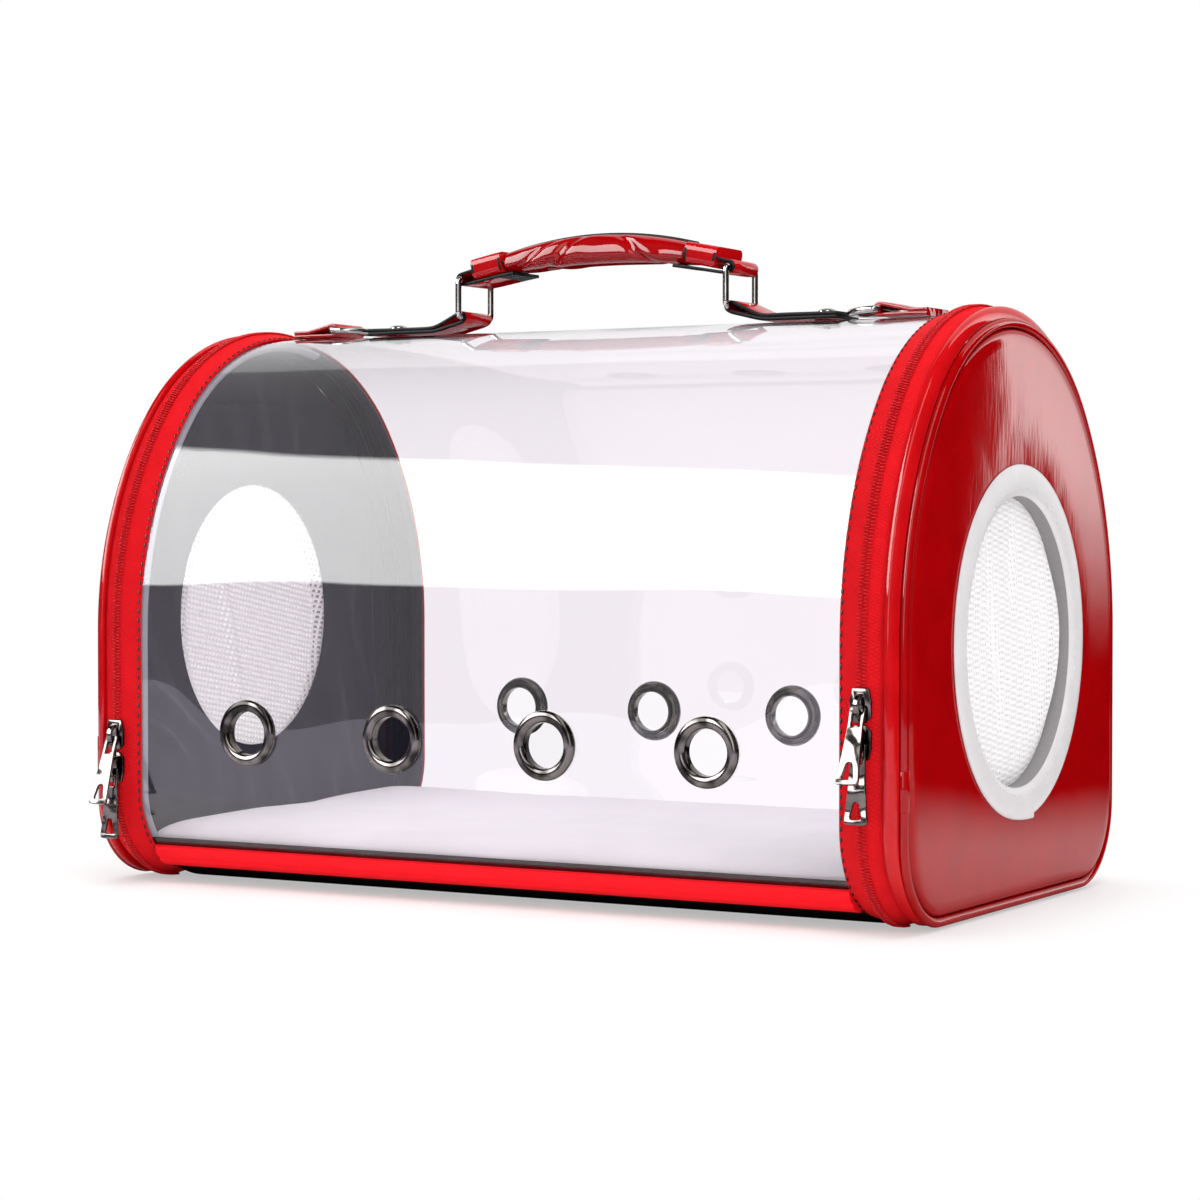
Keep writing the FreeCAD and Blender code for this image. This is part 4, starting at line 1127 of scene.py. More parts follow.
def make_piping(name, side, body):
    """Piping round the rim; its two ends meet low on the front, under a short lap."""
    profile = []
    for at in range(13):
        turn = 2 * math.pi * at / 12
        out = PIPING_RADIUS * math.cos(turn)
        profile.append((RIM_X + PIPING_RADIUS * math.sin(turn), RIM_OFFSET + out, HINGE_HEIGHT - out))
    piping = arch_strip(name + "_piping", profile, side, closed=True)
    deselect()
    front = -(HALF_WIDTH + RIM_OFFSET)
    bpy.ops.mesh.primitive_cylinder_add(vertices=24, radius=LAP_RADIUS * MM, depth=LAP_LENGTH * MM,
                                        location=(side * RIM_X * MM, front * MM, LAP_HEIGHT * MM))
    lap = bpy.context.object
    bpy.ops.object.transform_apply(location=True, rotation=True, scale=False)
    apply(lap, "BEVEL", width=0.35 * MM, segments=2, limit_method="ANGLE")
    paint(lap, 1, lambda at, normal: abs(normal.z) > 0.3)
    paint(piping, 1, lambda at, normal: False)
    piping = joined(name + "_piping", [piping, lap])
    settle(piping, body, ["patent", "edge"], [name + "_rim_piping"], angle=50)


def folded(points, folds):
    """Height of sharp folds at points of a cloth."""
    rise = np.zeros(len(points))
    for start, end, height, half in folds:
        start = np.array(start, dtype=float)
        way = np.array(end) - start
        along = np.clip((points - start) @ way / (way @ way), 0, 1)
        gap = np.linalg.norm(points - start - along[:, None] * way, axis=1)
        rise = np.maximum(rise, height * np.exp(-(gap / half) ** 2) * (0.35 + 0.65 * np.sin(math.pi * along)))
    return rise


def make_face(name, side, body):
    """Padded patent face: rolled edge, a low crown, and a dip where the window trim holds it down."""
    sizes = bpy.context.scene.carrier_sizes
    rows = []
    for x, inset in FACE_EDGE:
        points = section(FACE_OFFSET - inset, FACE_FLOOR + inset, closed=True)[0]
        rows.append(np.column_stack([np.full(len(points), side * x), points]))
    rim = section(FACE_OFFSET - FACE_ROLL, FACE_FLOOR + FACE_ROLL, closed=True)[0]
    hole = window_points(rim, FACE_HOLE)
    gap = np.linalg.norm(hole - rim, axis=1)
    for share in np.linspace(0, 1, 17)[1:]:
        points = rim + (hole - rim) * share
        swell = sizes.face_crown / MM * np.minimum(gap / 60, 1) * math.sin(math.pi * share) ** 0.8
        # Puckers fan out from the window, most below it
        ray = points - (0, WINDOW_HEIGHT)
        turn = np.arctan2(ray[:, 1], ray[:, 0])
        fan = np.array([noise.noise(Vector((9 * math.cos(a), 9 * math.sin(a), 0.4 * share))) for a in turn])
        swell = swell + PUCKER * fan * share ** 3 * (0.6 - 0.4 * np.sin(turn))
        rows.append(np.column_stack([side * (SKIN_TOP + swell), points]))
    skin = laid_grid(name + "_face_pad", rows)
    edit(skin, MERGE, OUTWARD)
    if np.mean([face.normal.x * side for face in skin.data.polygons]) < 0:
        edit(skin, (bpy.ops.mesh.flip_normals, {}))
    apply(skin, "SOLIDIFY", thickness=SKIN_THICK * MM, offset=-1)
    settle(skin, body, ["patent"], [name + "_face_skin", name + "_face_foam"], angle=60)


def make_lining(name, side, body):
    """Grey lining inside the end panel, loose, with its own oval hole."""
    outline = smooth_path(section(FACE_OFFSET, FACE_FLOOR, closed=True)[0], 361)
    hole = window_points(outline, LINING_HOLE) + LINING_SHIFT
    rows = []
    for share in np.linspace(0, 1, 41):
        points = outline + (hole - outline) * share
        # Loose cloth: low folds that run down and inwards
        folds = []
        for y, z in points:
            folds.append(noise.noise(Vector((0.05 * y + 0.02 * z + side, 0.012 * z - 0.02 * y, 0.0))))
        slack = LINING_SLACK * np.maximum(0, np.array(folds) + 0.15) * 4 * share * (1 - share)
        slack = slack + folded(points, LINING_FOLDS) * min(1, 8 * share, 8 * (1 - share))
        rows.append(np.column_stack([side * (LINING_X + CLOTH / 2 - slack), points]))
    lining = laid_grid(name + "_inner_lining", rows)
    edit(lining, MERGE)
    apply(lining, "SOLIDIFY", thickness=CLOTH * MM, offset=0)
    edit(lining, OUTWARD)
    settle(lining, body, ["lining"], [name + "_face_lining"])


def make_trim(name, side, body):
    """Window trim: a soft flange on the face and a sleeve down to the net."""
    trim = laid_grid(name + "_trim_ring", oval_rows(TRIM, side), shell=True)
    # The strip's end laps over its start at the foot of the window and flares out a little
    turns = np.radians(np.linspace(*TRIM_LAP, 11))
    flare = np.linspace(0, 1, 11) ** 2
    lap = []
    for growth, x in TRIM_FLANGE + TRIM_FLANGE[:1]:
        lift = LAP_RAISE * flare * (x > TRIM_TOP)
        reach = LAP_FLARE * flare * (growth > 10)
        lap.append(np.column_stack([side * (x + lift), (WINDOW_HALF[0] + growth + reach) * np.cos(turns),
                                    WINDOW_HEIGHT + (WINDOW_HALF[1] + growth + reach) * np.sin(turns)]))
    trim = joined(name + "_trim_strip", [trim, laid_grid("lap", lap, shell=True)])
    # Painted shade: the sleeve down to the net is given the grey net binding, darker than the trim, for the
    # shade in the recess
    paint(trim, 1, lambda at, normal: abs(at.x) < TRIM_TOP - 1)
    settle(trim, body, ["trim", "shaded_net_edge"], [name + "_window_trim"], angle=50)


def net_bulge(y, z):
    """How far the net stands out, in millimetres: most towards the rear, held down above and below that."""
    across, up = y / WINDOW_HALF[0], z / WINDOW_HALF[1]
    reach = math.hypot(across, up)
    turn = math.atan2(up, across)
    lobe = NET_LOBE[0] + NET_LOBE[1] * (0.5 + 0.5 * math.cos(2.4 * turn)) ** 1.5
    share = min(1, reach)
    edge = min(1, max(0, 1 - reach) / NET_HELD)
    return (NET_RISE + (lobe - NET_RISE) * share ** 2) * edge * edge * (3 - 2 * edge)


def make_net(name, side, body):
    """Window net: rows of holes in a web that leans by a few degrees, trimmed to the oval."""
    sizes = bpy.context.scene.carrier_sizes
    count = int(NET_SPAN * MM / sizes.net_pitch)
    deselect()
    bpy.ops.mesh.primitive_grid_add(x_subdivisions=count, y_subdivisions=count, size=count * sizes.net_pitch)
    net = bpy.context.object
    net.name = name + "_window_net"
    net.data.name = net.name
    lean = math.radians(NET_LEAN)
    half = [(value + NET_MARGIN) * MM for value in WINDOW_HALF]
    middle = WINDOW_HEIGHT * MM
    for vertex in net.data.vertices:
        a, b = vertex.co.x, vertex.co.y
        y = a * math.cos(lean) - b * math.sin(lean)
        z = a * math.sin(lean) + b * math.cos(lean)
        slack = max(0, 1 - (y / half[0]) ** 2 - (z / half[1]) ** 2)
        wave = NET_WAVE * slack * noise.noise(Vector((y * 24 + side, z * 7, 0.5)))
        spot = np.array([(side * y / MM, z / MM)])
        wave += net_bulge(*spot[0]) - folded(spot, NET_FOLDS)[0] * slack
        vertex.co = (side * (MESH_X + wave) * MM, side * y, z + middle)
    outside = []
    for face in net.data.polygons:
        if (face.center.y / half[0]) ** 2 + ((face.center.z - middle) / half[1]) ** 2 > 1:
            outside.append(face.index)
    drop_faces(net, outside)
    edit(net, (bpy.ops.mesh.inset, {"thickness": sizes.net_strand / 2, "use_individual": True}),
         (bpy.ops.mesh.delete, {"type": "FACE"}))
    apply(net, "SOLIDIFY", thickness=NET_THICK * MM, offset=0)
    edit(net, OUTWARD)
    settle(net, body, ["net"], [name + "_window_mesh"])


def make_eyelets():
    """Eyelets and their washers, turned and set in the sheet, and the rivets of the handle's tabs."""
    bore, (crest, foot) = EYELET_BORE, EYELET_CREST
    profile = [(bore + 0.8, -EYELET_SHANK), (bore, -EYELET_SHANK), (bore, -1.0), (bore, foot)]
    for step in range(1, 12):
        turn = math.radians(180 - 180 * step / 12)
        profile.append((crest + EYELET_ROLL[0] * math.cos(turn), foot + EYELET_ROLL[1] * math.sin(turn)))
    profile += [(EYELET_RIM, 0.7), (EYELET_RIM - 0.25, 0.1), (bore + 0.8, 0.1)]
    places = []
    for x, side in eyelet_places():
        turn = Matrix.Rotation(-side * math.pi / 2, 4, "X")
        places.append(Matrix.Translation((x * MM, side * HALF_WIDTH * MM, EYELET_HEIGHT * MM)) @ turn)
    eyelets = joined("eyelet_rings", set_down(turned("eyelet", profile, 64), places))
    settle(eyelets, "carrier", ["gunmetal"], ["eyelets"], angle=50)
    # Rolled washers inside the sheet
    profile = list(WASHER_FLAT)
    for step in range(13):
        turn = math.radians(-15 * step)
        profile.append((WASHER_CREST[0] + WASHER_ROLL[0] * math.cos(turn),
                        WASHER_CREST[1] + WASHER_ROLL[1] * math.sin(turn)))
    washers = joined("rolled_washers", set_down(turned("washer", profile, 64), places))
    settle(washers, "carrier", ["gunmetal"], ["eyelet_washers"], angle=50)
    # Domed rivets
    profile = [(0, RIVET_TOP)]
    for step in range(1, 7):
        turn = math.radians(90 * step / 6)
        dome = RIVET_TOP - RIVET_DOME[1] * (1 - math.cos(turn))
        profile.append((RIVET_DOME[0] * math.sin(turn), dome))
    model = turned("rivet", profile + RIVET_SHANK, 32)
    rivets = set_down(model, [Matrix.Translation((side * RIVET_X * MM, 0, 0)) for _, side in SIDES])
    settle(joined("rivets", rivets), "carrier", ["nickel"], ["tab_rivets"], angle=60)


def loop_path(bar_x, bar_z, start, end):
    """Part of a strap loop round a bar, angles in degrees."""
    return list(arc((bar_x, bar_z), LOOP_RADIUS, start, end, 10)[0])


def make_tabs():
    """Tabs of the handle and of the D-rings: a strap folded round a bar and doubled back on itself."""
    low = STRAP_FLOOR + STRAP_THICK / 2
    high = low + STRAP_THICK + 0.05
    for name, side in SIDES:
        for node, (bar_x, bar_z, ramp, far) in (("handle_tab", HANDLE_TAB), ("d_ring_tab", D_RING_TAB)):
            path = [(far, low), (ramp, low), (ramp - 2, low + 0.05)]
            path += loop_path(bar_x, bar_z, 270, 90)
            path += [(ramp - 2, high + 0.1), (ramp, high), (far, high)]
            # Rounded off so that the strap bends and doesn't kink
            points = smooth_path(path, 90)
            for _ in range(6):
                points[1:-1] = (points[:-2] + 2 * points[1:-1] + points[2:]) / 4
            points = points * (side, 1)
            tab = ribbon(name + "_" + node + "_fold", points, STRAP_HALF, STRAP_THICK / 2 + 0.1, STRAP_WAVE)
            if node == "handle_tab":
                paint(tab, 1, lambda at, normal: abs(at.y) > STRAP_HALF - EDGE_PAINT or abs(at.x) > far - 0.1)
            settle(tab, "carrier", ["creased_patent", "edge"], [name + "_" + node])


def handle_height(x):
    """Height of the handle's middle line."""
    return GRIP_HEIGHT - HANDLE_RADIUS + math.sqrt(HANDLE_RADIUS ** 2 - x ** 2)


def along_handle(profile, start, end, count, shape=None):
    """Rows of points for a closed profile of (y, rise) along the handle's arc; a shape may change it."""
    stations = np.linspace(start, end, count)
    rows = []
    for y, rise in profile:
        row = []
        for x in stations:
            here = shape(x, y, rise) if shape else (y, rise)
            lean = x / HANDLE_RADIUS
            row.append((x + here[1] * lean, here[0], handle_height(x) + here[1] * math.sqrt(1 - lean ** 2)))
        rows.append(row)
    return np.array(rows)


def grip_half(x):
    """Half width and half height of the grip, fullest in the middle."""
    full = 1 - (x / GRIP_HALF[0]) ** 2
    return GRIP_HALF[1] * (0.9 + 0.1 * full), GRIP_HALF[2] * (0.7 + 0.3 * full)


def grip_point(x, y, rise):
    """Point of the grip's cover; y and rise are on a unit circle."""
    depth = bpy.context.scene.carrier_sizes.grip_crease / MM
    round_way = math.atan2(rise, abs(y))
    out = 0.3 * noise.noise(Vector((0.05 * x, 1.5 * y, 1.5 * rise)))
    for place, run in GRIP_CREASES:
        past = x - place - run * round_way
        # A ridge beside each valley
        out += 0.5 * hump(past, 7, 5) - hump(past, 0, 3)
    out *= depth * min(1, (GRIP_HALF[0] - abs(x)) / 10) * min(1, (1 - rise) / 0.3)
    wide, high = grip_half(x)
    tall = math.copysign(abs(rise) ** 0.75, rise)
    side = math.copysign(abs(y) ** 0.55, y) * (1 - 0.17 * max(0, tall + 0.3))
    return side * (wide + out), tall * (high + 0.5 * out)


def make_handle():
    """Strap from ring to ring with its tails turned back, padded grip, the grip's seam and two collars."""
    half_run = STRAP_TAIL + loop_path(RING_X, RING_HIGH, 270, 450)
    half_run = np.array(half_run + [(x, handle_height(x)) for x in np.linspace(RING_X - 2, 0, 30)])
    path = smooth_path(np.concatenate([half_run, half_run[-2::-1] * (-1, 1)]), 180)
    strap = ribbon("strap", path, STRAP_HALF, STRAP_THICK / 2 - 0.05, STRAP_WAVE)
    # It is narrower inside the grip
    for vertex in strap.data.vertices:
        x, z = vertex.co.x / MM, vertex.co.z / MM
        if abs(x) < GRIP_HALF[0] - 1 and z > handle_height(x) - 3:
            vertex.co.y *= 0.7
    tail = STRAP_TAIL[0][0]
    paint(strap, 1, lambda at, normal: abs(at.y) > STRAP_HALF - EDGE_PAINT)
    paint(strap, 1, lambda at, normal: abs(at.x) < tail + 0.2 and at.z < STRAP_TAIL[0][1] + 1.2)
    # The tails show their black backing
    bare = STRAP_TAIL[1][0] + 1
    paint(strap, 1, lambda at, normal: (abs(at.x) < bare and normal.z < -0.5
                                        and at.z < handle_height(at.x) - 3))
    settle(strap, "handle", ["creased_patent", "edge"], ["handle_strap"])
    # Padded grip with creases where the cover is drawn together
    circle = ring_profile((0, 0), (1, 1), 44)
    ends = (-GRIP_HALF[0], GRIP_HALF[0])
    grip = laid_grid("grip_cover", along_handle(circle, *ends, 110, grip_point), shell=True)
    apply(grip, "SUBSURF", levels=1, render_levels=1)
    settle(grip, "handle", ["patent"], ["handle_grip", "handle_core"], angle=70)
    # The cover's edges stand up along the top and are painted
    seam = along_handle(rounded(*GRIP_SEAM), *ends, 60, lambda x, y, rise: (y, rise + grip_half(x)[1]))
    settle(laid_grid("grip_seam", seam, shell=True), "handle", ["edge"])
    collars = []
    for _, side in SIDES:
        ends = sorted(side * end for end in COLLAR_ENDS)
        collars.append(laid_grid("collar", along_handle(rounded(*COLLAR), *ends, 13), shell=True))
    collars = joined("collars", collars)
    middle = sum(COLLAR_ENDS) / 2
    paint(collars, 1, lambda at, normal: COLLAR_PAINT[0] < abs(abs(at.x) - middle) < COLLAR_PAINT[1])
    settle(collars, "handle", ["gusset", "edge"], ["handle_collars"], angle=50)


def eased(corners, radius, steps=4):
    """Closed outline with its corners rounded."""
    corners = [Vector(corner) for corner in corners]
    points = []
    for at, corner in enumerate(corners):
        back = corners[at - 1] - corner
        ahead = corners[(at + 1) % len(corners)] - corner
        start = corner + back.normalized() * min(radius, back.length / 2)
        end = corner + ahead.normalized() * min(radius, ahead.length / 2)
        for step in range(steps + 1):
            share = step / steps
            points.append(start * (1 - share) ** 2 + corner * 2 * share * (1 - share) + end * share ** 2)
    return points


def plate(name, outlines, thick, edge):
    """Flat plate with holes from outlines in millimetres, its edges rounded over."""
    curve = bpy.data.curves.new(name, "CURVE")
    curve.dimensions = "2D"
    curve.fill_mode = "BOTH"
    curve.extrude = (thick / 2 - edge) * MM
    curve.bevel_depth = edge * MM
    curve.bevel_resolution = 2
    curve.offset = -edge * MM
    for outline in outlines:
        spline = curve.splines.new("POLY")
        spline.points.add(len(outline) - 1)
        for point, (x, y) in zip(spline.points, outline):
            point.co = (x * MM, y * MM, 0, 1)
        spline.use_cyclic_u = True
    piece = bpy.data.objects.new(name, curve)
    bpy.context.collection.objects.link(piece)
    only(piece)
    bpy.ops.object.convert(target="MESH")
    piece = bpy.context.object
    edit(piece, MERGE, OUTWARD)
    return piece


def make_pull(name, side, level, height, lean):
    """Flat pull: head with a slot for the slider's crown, flared foot with a drop-shaped hole."""
    outlines = [eased(PULL_BODY, 1.6), eased(PULL_SLOT, 0.8), eased(PULL_HOLE, 1.4)]
    pull = plate(name + "_" + level + "_zip_pull", outlines, PULL_THICK, PULL_EDGE)
    pull.data.transform(Matrix.Rotation(math.radians(90 - lean), 4, "X"))
    pull.data.transform(Matrix.Translation((side * PULL_PLACE[0] * MM, PULL_PLACE[1] * MM, height * MM)))
    node = name + "_" + level + "_pull"
    settle(pull, name + "_" + level + "_zip_pull", ["cast"], [node], angle=35)


def make_hardware():
    """Sliders with rounded edges, their pulls, and finishes for the CAD pieces that are shown as they are."""
    for name, side in SIDES:
        for level, drop, lean in PULL_LEVELS:
            node = name + "_" + level + "_slider"
            slider = refined(node, SLIDER_EDGE)
            settle(slider, name + "_" + level + "_zip", ["gunmetal"], [node], angle=35)
            make_pull(name, side, level, PULL_HEIGHT[name] - drop, lean)
    carried = {"base_board": "board", "hoop_wires": "steel", "rivet_washers": "gunmetal"}
    for name, _ in SIDES:
        carried[name + "_face_board"] = "board"
        carried[name + "_handle_ring"] = "nickel"
        carried[name + "_d_ring"] = "nickel"
    for node, name in carried.items():
        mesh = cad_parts[node].data
        mesh.materials.clear()
        mesh.materials.append(finish(name))


def make_stitching():
    """Stitches along the inner edge of the body tapes and round the inner edge of the window trims."""
    sizes = bpy.context.scene.carrier_sizes
    pitch = sizes.stitch_pitch / MM
    for name, side in SIDES:
        rows = [path_frames(*TAPE_STITCH, pitch, side)]
        settle(stitch_line(name + "_tape_stitches", rows), "carrier", ["thread"], angle=180)
        turn = np.linspace(0, 2 * math.pi, int(2 * math.pi * WINDOW_HALF[1] / pitch) + 1)[:-1]
        half = np.array(WINDOW_HALF) + TRIM_STITCH[0]
        spots = np.column_stack([np.full(len(turn), side * TRIM_STITCH[1]), half[0] * np.cos(turn),
                                 WINDOW_HEIGHT + half[1] * np.sin(turn)])
        along = np.column_stack([np.zeros(len(turn)), -np.sin(turn), np.cos(turn)])
        outward = np.tile((float(side), 0.0, 0.0), (len(turn), 1))
        trim = stitch_line(name + "_trim_stitches", [(spots, along, outward)])
        settle(trim, name + "_door", ["trim"], angle=180)


def area_light(name, centre, target, size, radiance):
    """Soft box: power from the brightness that its face shows."""
    light = bpy.data.lights.new(name, "AREA")
    light.shape = "RECTANGLE"
    light.size = size[0]
    light.size_y = size[1]
    light.energy = radiance * math.pi * size[0] * size[1]
    lamp = bpy.data.objects.new(name, light)
    bpy.context.collection.objects.link(lamp)
    lamp.location = centre
    lamp.rotation_euler = (Vector(target) - Vector(centre)).to_track_quat("-Z", "Y").to_euler()
    lamp.visible_camera = False
    lamp.visible_glossy = False
    lamp.visible_transmission = False


def make_floor():
    """Round white table, plain white to the eye away from the carrier, so only the contact shadow shows."""
    colours = bpy.context.scene.carrier_colours
    deselect()
    bpy.ops.mesh.primitive_circle_add(vertices=96, radius=FLOOR_RADIUS, fill_type="NGON")
    floor = bpy.context.object
    floor.name = "floor"
    material, tree, shader, where = surface("white_floor", base_color=opaque(colours.floor), roughness=0.6)
    path = add(tree, "ShaderNodeLightPath")
    camera, glossy, sent = (path.outputs[kind] for kind in RAYS)
    # Distance from the carrier's footprint
    size = add(tree, "ShaderNodeVectorMath", {0: where}, operation="ABSOLUTE")
    past = add(tree, "ShaderNodeVectorMath", {0: size.outputs[0], 1: FOOTPRINT}, operation="SUBTRACT")
    past = add(tree, "ShaderNodeVectorMath", {0: past.outputs[0], 1: (0, 0, 0)}, operation="MAXIMUM")
    gap = add(tree, "ShaderNodeVectorMath", {0: past.outputs[0]}, operation="LENGTH").outputs["Value"]
    share = add(tree, "ShaderNodeMapRange", {0: gap, 1: 0.0, 2: CONTACT_WIDTH, 3: 0.45, 4: 1.0},
                interpolation_type="SMOOTHSTEP")
    seen = add(tree, "ShaderNodeMath", {0: camera, 1: sent}, operation="MAXIMUM")
    factor = add(tree, "ShaderNodeMath", {0: seen.outputs[0], 1: share.outputs[0]}, operation="MULTIPLY")
    glow = add(tree, "ShaderNodeEmission", {"Strength": 1.0})
    both = add(tree, "ShaderNodeMixShader", {0: factor.outputs[0], 1: shader.outputs[0], 2: glow.outputs[0]})
    # Where it is mirrored, it is lit up to the edge in front
    mirrored = add(tree, "ShaderNodeMath", {0: glossy, 1: sent}, operation="SUBTRACT", use_clamp=True)
    away = add(tree, "ShaderNodeVectorMath", {0: where, 1: BACK_RIGHT}, operation="DOT_PRODUCT")
    away = away.outputs["Value"]
    lit = add(tree, "ShaderNodeMapRange", {0: away, 1: -0.2, 2: -0.5})
    lit = add(tree, "ShaderNodeMath", {0: lit.outputs[0], 1: mirrored.outputs[0]}, operation="MULTIPLY")
    day = add(tree, "ShaderNodeEmission", {"Color": opaque(colours.floor_mirror), "Strength": 1.85})
    both = add(tree, "ShaderNodeMixShader", {0: lit.outputs[0], 1: both.outputs[0], 2: day.outputs[0]})
    # To the right and behind the carrier, it falls off into the dark there; next to the carrier a contact
    # shadow is painted dark into the mirrored floor
    dark = add(tree, "ShaderNodeMapRange", {0: away, 1: 0.3, 2: 0.75}, interpolation_type="SMOOTHSTEP")
    # Painted shadow: where it is mirrored, the floor is dark right next to the carrier's footprint
    near = add(tree, "ShaderNodeMapRange", {0: gap, 1: 0.0, 2: MIRROR_CONTACT, 3: 0.85, 4: 0.0})
    dark = add(tree, "ShaderNodeMath", {0: dark.outputs[0], 1: near.outputs[0]}, operation="MAXIMUM")
    dark = add(tree, "ShaderNodeMath", {0: dark.outputs[0], 1: mirrored.outputs[0]}, operation="MULTIPLY")
    night = add(tree, "ShaderNodeEmission", {"Strength": 0.0})
    add(tree, "ShaderNodeMixShader", {0: dark.outputs[0], 1: both.outputs[0], 2: night.outputs[0]},
        to=tree.nodes["Material Output"].inputs["Surface"])
    floor.data.materials.append(material)


def make_world():
    """White where the background is seen; reflections find a white wall behind and grey ones in front."""
    world = bpy.data.worlds.new("studio")
    bpy.context.scene.world = world
    world.use_nodes = True
    tree = world.node_tree
    tree.nodes.clear()
    path = add(tree, "ShaderNodeLightPath")
    way = add(tree, "ShaderNodeTexCoord").outputs["Generated"]
    x, y, z = add(tree, "ShaderNodeSeparateXYZ", {0: way}).outputs
    up = add(tree, "ShaderNodeMapRange", {0: z, 1: -0.045, 2: 0.03}, interpolation_type="SMOOTHSTEP")
    ahead = add(tree, "ShaderNodeMapRange", {0: y, 1: -0.05, 2: -0.1})
    # The wall behind stops to the right, so only the rear half of the right end panel mirrors it
    stop = add(tree, "ShaderNodeVectorMath", {0: way, 1: WALL_STOP}, operation="DOT_PRODUCT")
    stop = stop.outputs["Value"]
    wall = [add(tree, "ShaderNodeMapRange", ramp) for ramp in (
        {0: stop, 1: -0.004, 2: 0.006}, {0: stop, 1: 0.0, 2: 0.2, 3: 4.4, 4: 0.9}, {0: y, 1: 0.33, 2: 0.36})]
    # A tall soft box stands in front on the left
    box = [add(tree, "ShaderNodeMapRange", ramp) for ramp in (
        {0: z, 1: 0.205, 2: 0.22}, {0: z, 1: 0.73, 2: 0.715},
        {0: x, 1: -0.9, 2: -0.85}, {0: x, 1: -0.2, 2: -0.25, 4: 12.5})]
    # A narrow strip stands in front, a little to the right
    strip = [add(tree, "ShaderNodeMapRange", ramp) for ramp in (
        {0: x, 1: 0.0, 2: 0.05}, {0: x, 1: 0.4, 2: 0.35, 4: 3.0})]
    # Grey in front of the carrier
    mirrored = add(tree, "ShaderNodeMapRange", {0: y, 1: -0.05, 2: -0.4, 4: 0.15})
    for shares in (wall + [up], box + [ahead], strip + [up, ahead]):
        panel = shares[0]
        for share in shares[1:]:
            panel = add(tree, "ShaderNodeMath", {0: panel.outputs[0], 1: share.outputs[0]},
                        operation="MULTIPLY")
        mirrored = add(tree, "ShaderNodeMath", {0: mirrored.outputs[0], 1: panel.outputs[0]},
                       operation="MAXIMUM")
    camera, glossy, sent = (path.outputs[kind] for kind in RAYS)
    seen = add(tree, "ShaderNodeMath", {0: camera, 1: sent}, operation="MAXIMUM")
    level = add(tree, "ShaderNodeMix", {0: glossy, 2: 0.45, 3: mirrored.outputs[0]})
    level = add(tree, "ShaderNodeMix", {0: seen.outputs[0], 2: level.outputs[0], 3: 1.0})
    light = add(tree, "ShaderNodeBackground", {"Color": (1, 1, 1, 1), "Strength": level.outputs[0]})
    add(tree, "ShaderNodeOutputWorld", {"Surface": light.outputs[0]})


def make_stage():
    """Floor, world, lamps and camera."""
    scene = bpy.context.scene
    scene.view_settings.view_transform = "Standard"
    make_floor()
    make_world()
    for lamp in LAMPS:
        area_light(*lamp)
    camera = bpy.data.cameras.new("camera")
    camera.sensor_width = CAMERA_SENSOR
    camera.lens = CAMERA_LENS
    eye = bpy.data.objects.new("camera", camera)
    bpy.context.collection.objects.link(eye)
    eye.location = CAMERA_PLACE
    eye.rotation_euler = (math.radians(90 - CAMERA_TILT), 0, math.radians(CAMERA_TURN))
    scene.camera = eye


# Operators, panel and run

class CARRIER_OT_clear_sheet(bpy.types.Operator):
    """Bend the clear sheet over the arch and punch its eyelet holes."""
    bl_idname = "carrier.clear_sheet"
    bl_label = "Clear Sheet"
    bl_options = {"REGISTER", "UNDO"}

    def execute(self, context):
        make_clear_sheet()
        return {"FINISHED"}


class CARRIER_OT_base(bpy.types.Operator):
    """Make the base cover, the bands and the lining tray."""
    bl_idname = "carrier.base"
    bl_label = "Base"
    bl_options = {"REGISTER", "UNDO"}

    def execute(self, context):
        make_base()
        return {"FINISHED"}


class CARRIER_OT_floor_mat(bpy.types.Operator):
    """Swell the floor mat."""
    bl_idname = "carrier.floor_mat"
    bl_label = "Floor Mat"
    bl_options = {"REGISTER", "UNDO"}

    def execute(self, context):
        make_mat()
        return {"FINISHED"}


class CARRIER_OT_end_seams(bpy.types.Operator):
    """Lay the bindings, sleeves, tapes and coils of the body."""
    bl_idname = "carrier.end_seams"
    bl_label = "End Seams"
    bl_options = {"REGISTER", "UNDO"}

    def execute(self, context):
        make_end_seams()
        return {"FINISHED"}


class CARRIER_OT_end_panels(bpy.types.Operator):
    """Make the padded end panels with their windows."""
    bl_idname = "carrier.end_panels"
    bl_label = "End Panels"
    bl_options = {"REGISTER", "UNDO"}

    def execute(self, context):
        make_end_panels()
        return {"FINISHED"}


class CARRIER_OT_eyelets(bpy.types.Operator):
    """Turn the eyelets, their washers and the rivets."""
    bl_idname = "carrier.eyelets"
    bl_label = "Eyelets"
    bl_options = {"REGISTER", "UNDO"}

    def execute(self, context):
        make_eyelets()
        return {"FINISHED"}


class CARRIER_OT_tabs(bpy.types.Operator):
    """Fold the strap tabs round their rings."""
    bl_idname = "carrier.tabs"
    bl_label = "Tabs"
    bl_options = {"REGISTER", "UNDO"}

    def execute(self, context):
        make_tabs()
        return {"FINISHED"}


class CARRIER_OT_handle(bpy.types.Operator):
    """Make the strap, the padded grip and its collars."""
    bl_idname = "carrier.handle"
    bl_label = "Handle"
    bl_options = {"REGISTER", "UNDO"}

    def execute(self, context):
        make_handle()
        return {"FINISHED"}


class CARRIER_OT_hardware(bpy.types.Operator):
    """Round the zip sliders, cut the pulls and plate the rings."""
    bl_idname = "carrier.hardware"
    bl_label = "Hardware"
    bl_options = {"REGISTER", "UNDO"}

    def execute(self, context):
        make_hardware()
        return {"FINISHED"}


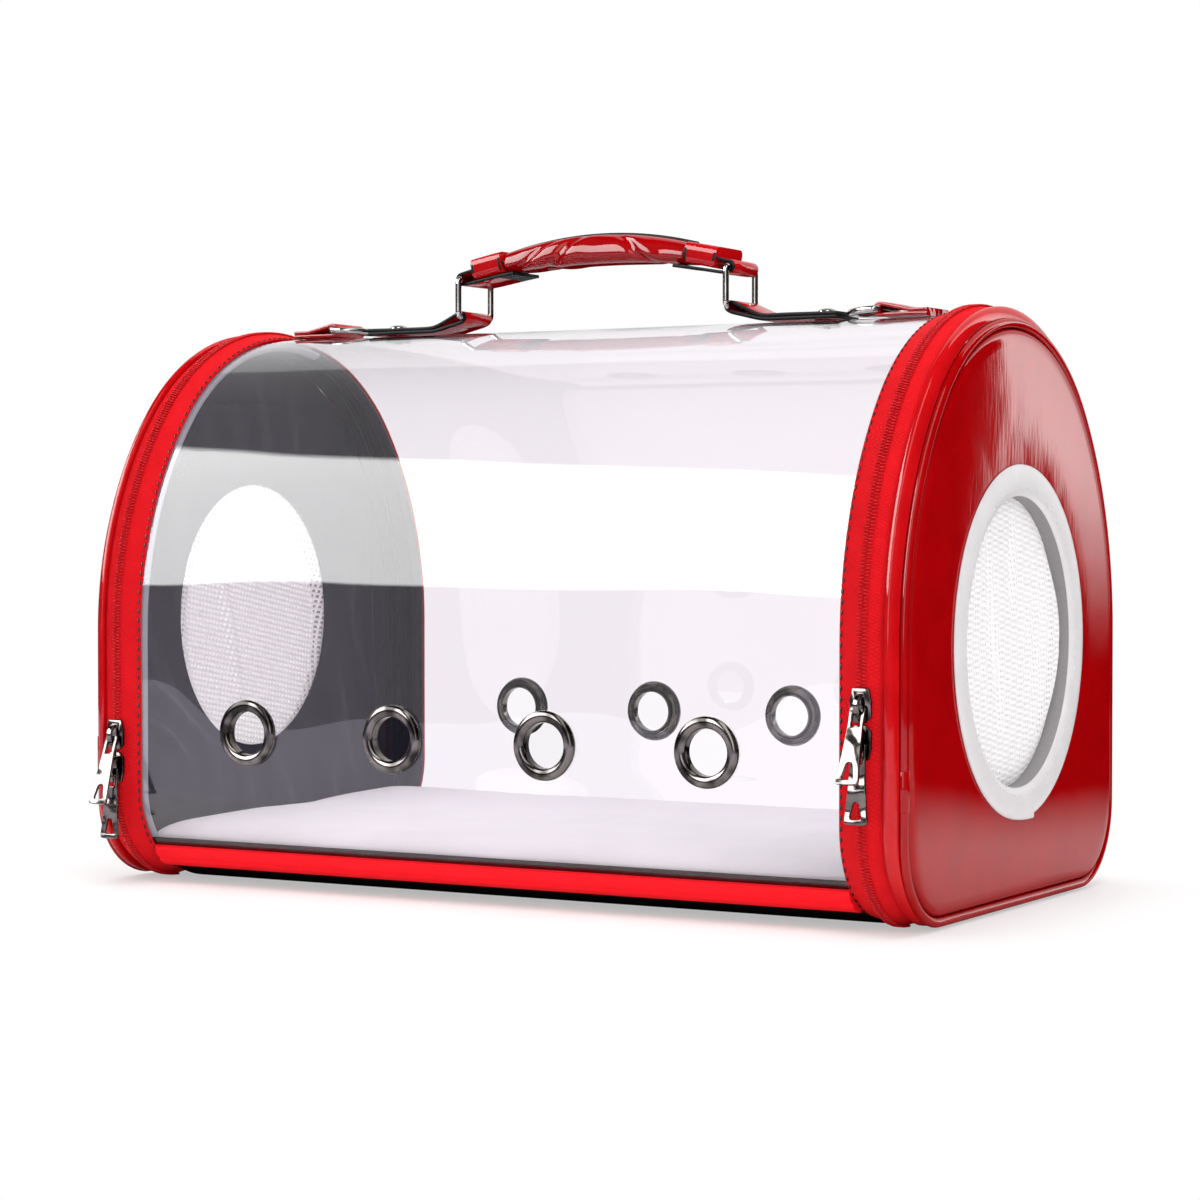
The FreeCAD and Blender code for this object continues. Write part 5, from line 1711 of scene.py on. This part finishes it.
class CARRIER_OT_stitching(bpy.types.Operator):
    """Sew the rows of stitches."""
    bl_idname = "carrier.stitching"
    bl_label = "Stitching"
    bl_options = {"REGISTER", "UNDO"}

    def execute(self, context):
        make_stitching()
        return {"FINISHED"}


class CARRIER_OT_stage(bpy.types.Operator):
    """Set up the floor, the lights and the camera."""
    bl_idname = "carrier.stage"
    bl_label = "Stage"
    bl_options = {"REGISTER", "UNDO"}

    def execute(self, context):
        make_stage()
        return {"FINISHED"}


OPERATORS = [
    CARRIER_OT_clear_sheet,
    CARRIER_OT_base,
    CARRIER_OT_floor_mat,
    CARRIER_OT_end_seams,
    CARRIER_OT_end_panels,
    CARRIER_OT_eyelets,
    CARRIER_OT_tabs,
    CARRIER_OT_handle,
    CARRIER_OT_hardware,
    CARRIER_OT_stitching,
    CARRIER_OT_stage,
]


class CARRIER_PT_pieces(bpy.types.Panel):
    """Lists the makers and what they can be given."""
    bl_label = "Pet carrier"
    bl_space_type = "VIEW_3D"
    bl_region_type = "UI"
    bl_category = "Carrier"

    def draw(self, context):
        scene = context.scene
        for kind, group in ((CarrierSizes, scene.carrier_sizes), (CarrierColours, scene.carrier_colours)):
            for key in kind.__annotations__:
                self.layout.prop(group, key)
        for kind in OPERATORS:
            self.layout.operator(kind.bl_idname)


CLASSES = [CarrierSizes, CarrierColours, *OPERATORS, CARRIER_PT_pieces]


def register():
    for kind in CLASSES:
        bpy.utils.register_class(kind)
    bpy.types.Scene.carrier_sizes = bpy.props.PointerProperty(type=CarrierSizes)
    bpy.types.Scene.carrier_colours = bpy.props.PointerProperty(type=CarrierColours)


def unregister():
    del bpy.types.Scene.carrier_colours
    del bpy.types.Scene.carrier_sizes
    for kind in reversed(CLASSES):
        bpy.utils.unregister_class(kind)


def main():
    register()
    bpy.ops.carrier.clear_sheet()
    bpy.ops.carrier.base()
    bpy.ops.carrier.floor_mat()
    bpy.ops.carrier.end_seams()
    bpy.ops.carrier.end_panels()
    bpy.ops.carrier.eyelets()
    bpy.ops.carrier.tabs()
    bpy.ops.carrier.handle()
    bpy.ops.carrier.hardware()
    bpy.ops.carrier.stitching()
    bpy.ops.carrier.stage()
    deselect()


if __name__ == "__main__":
    main()
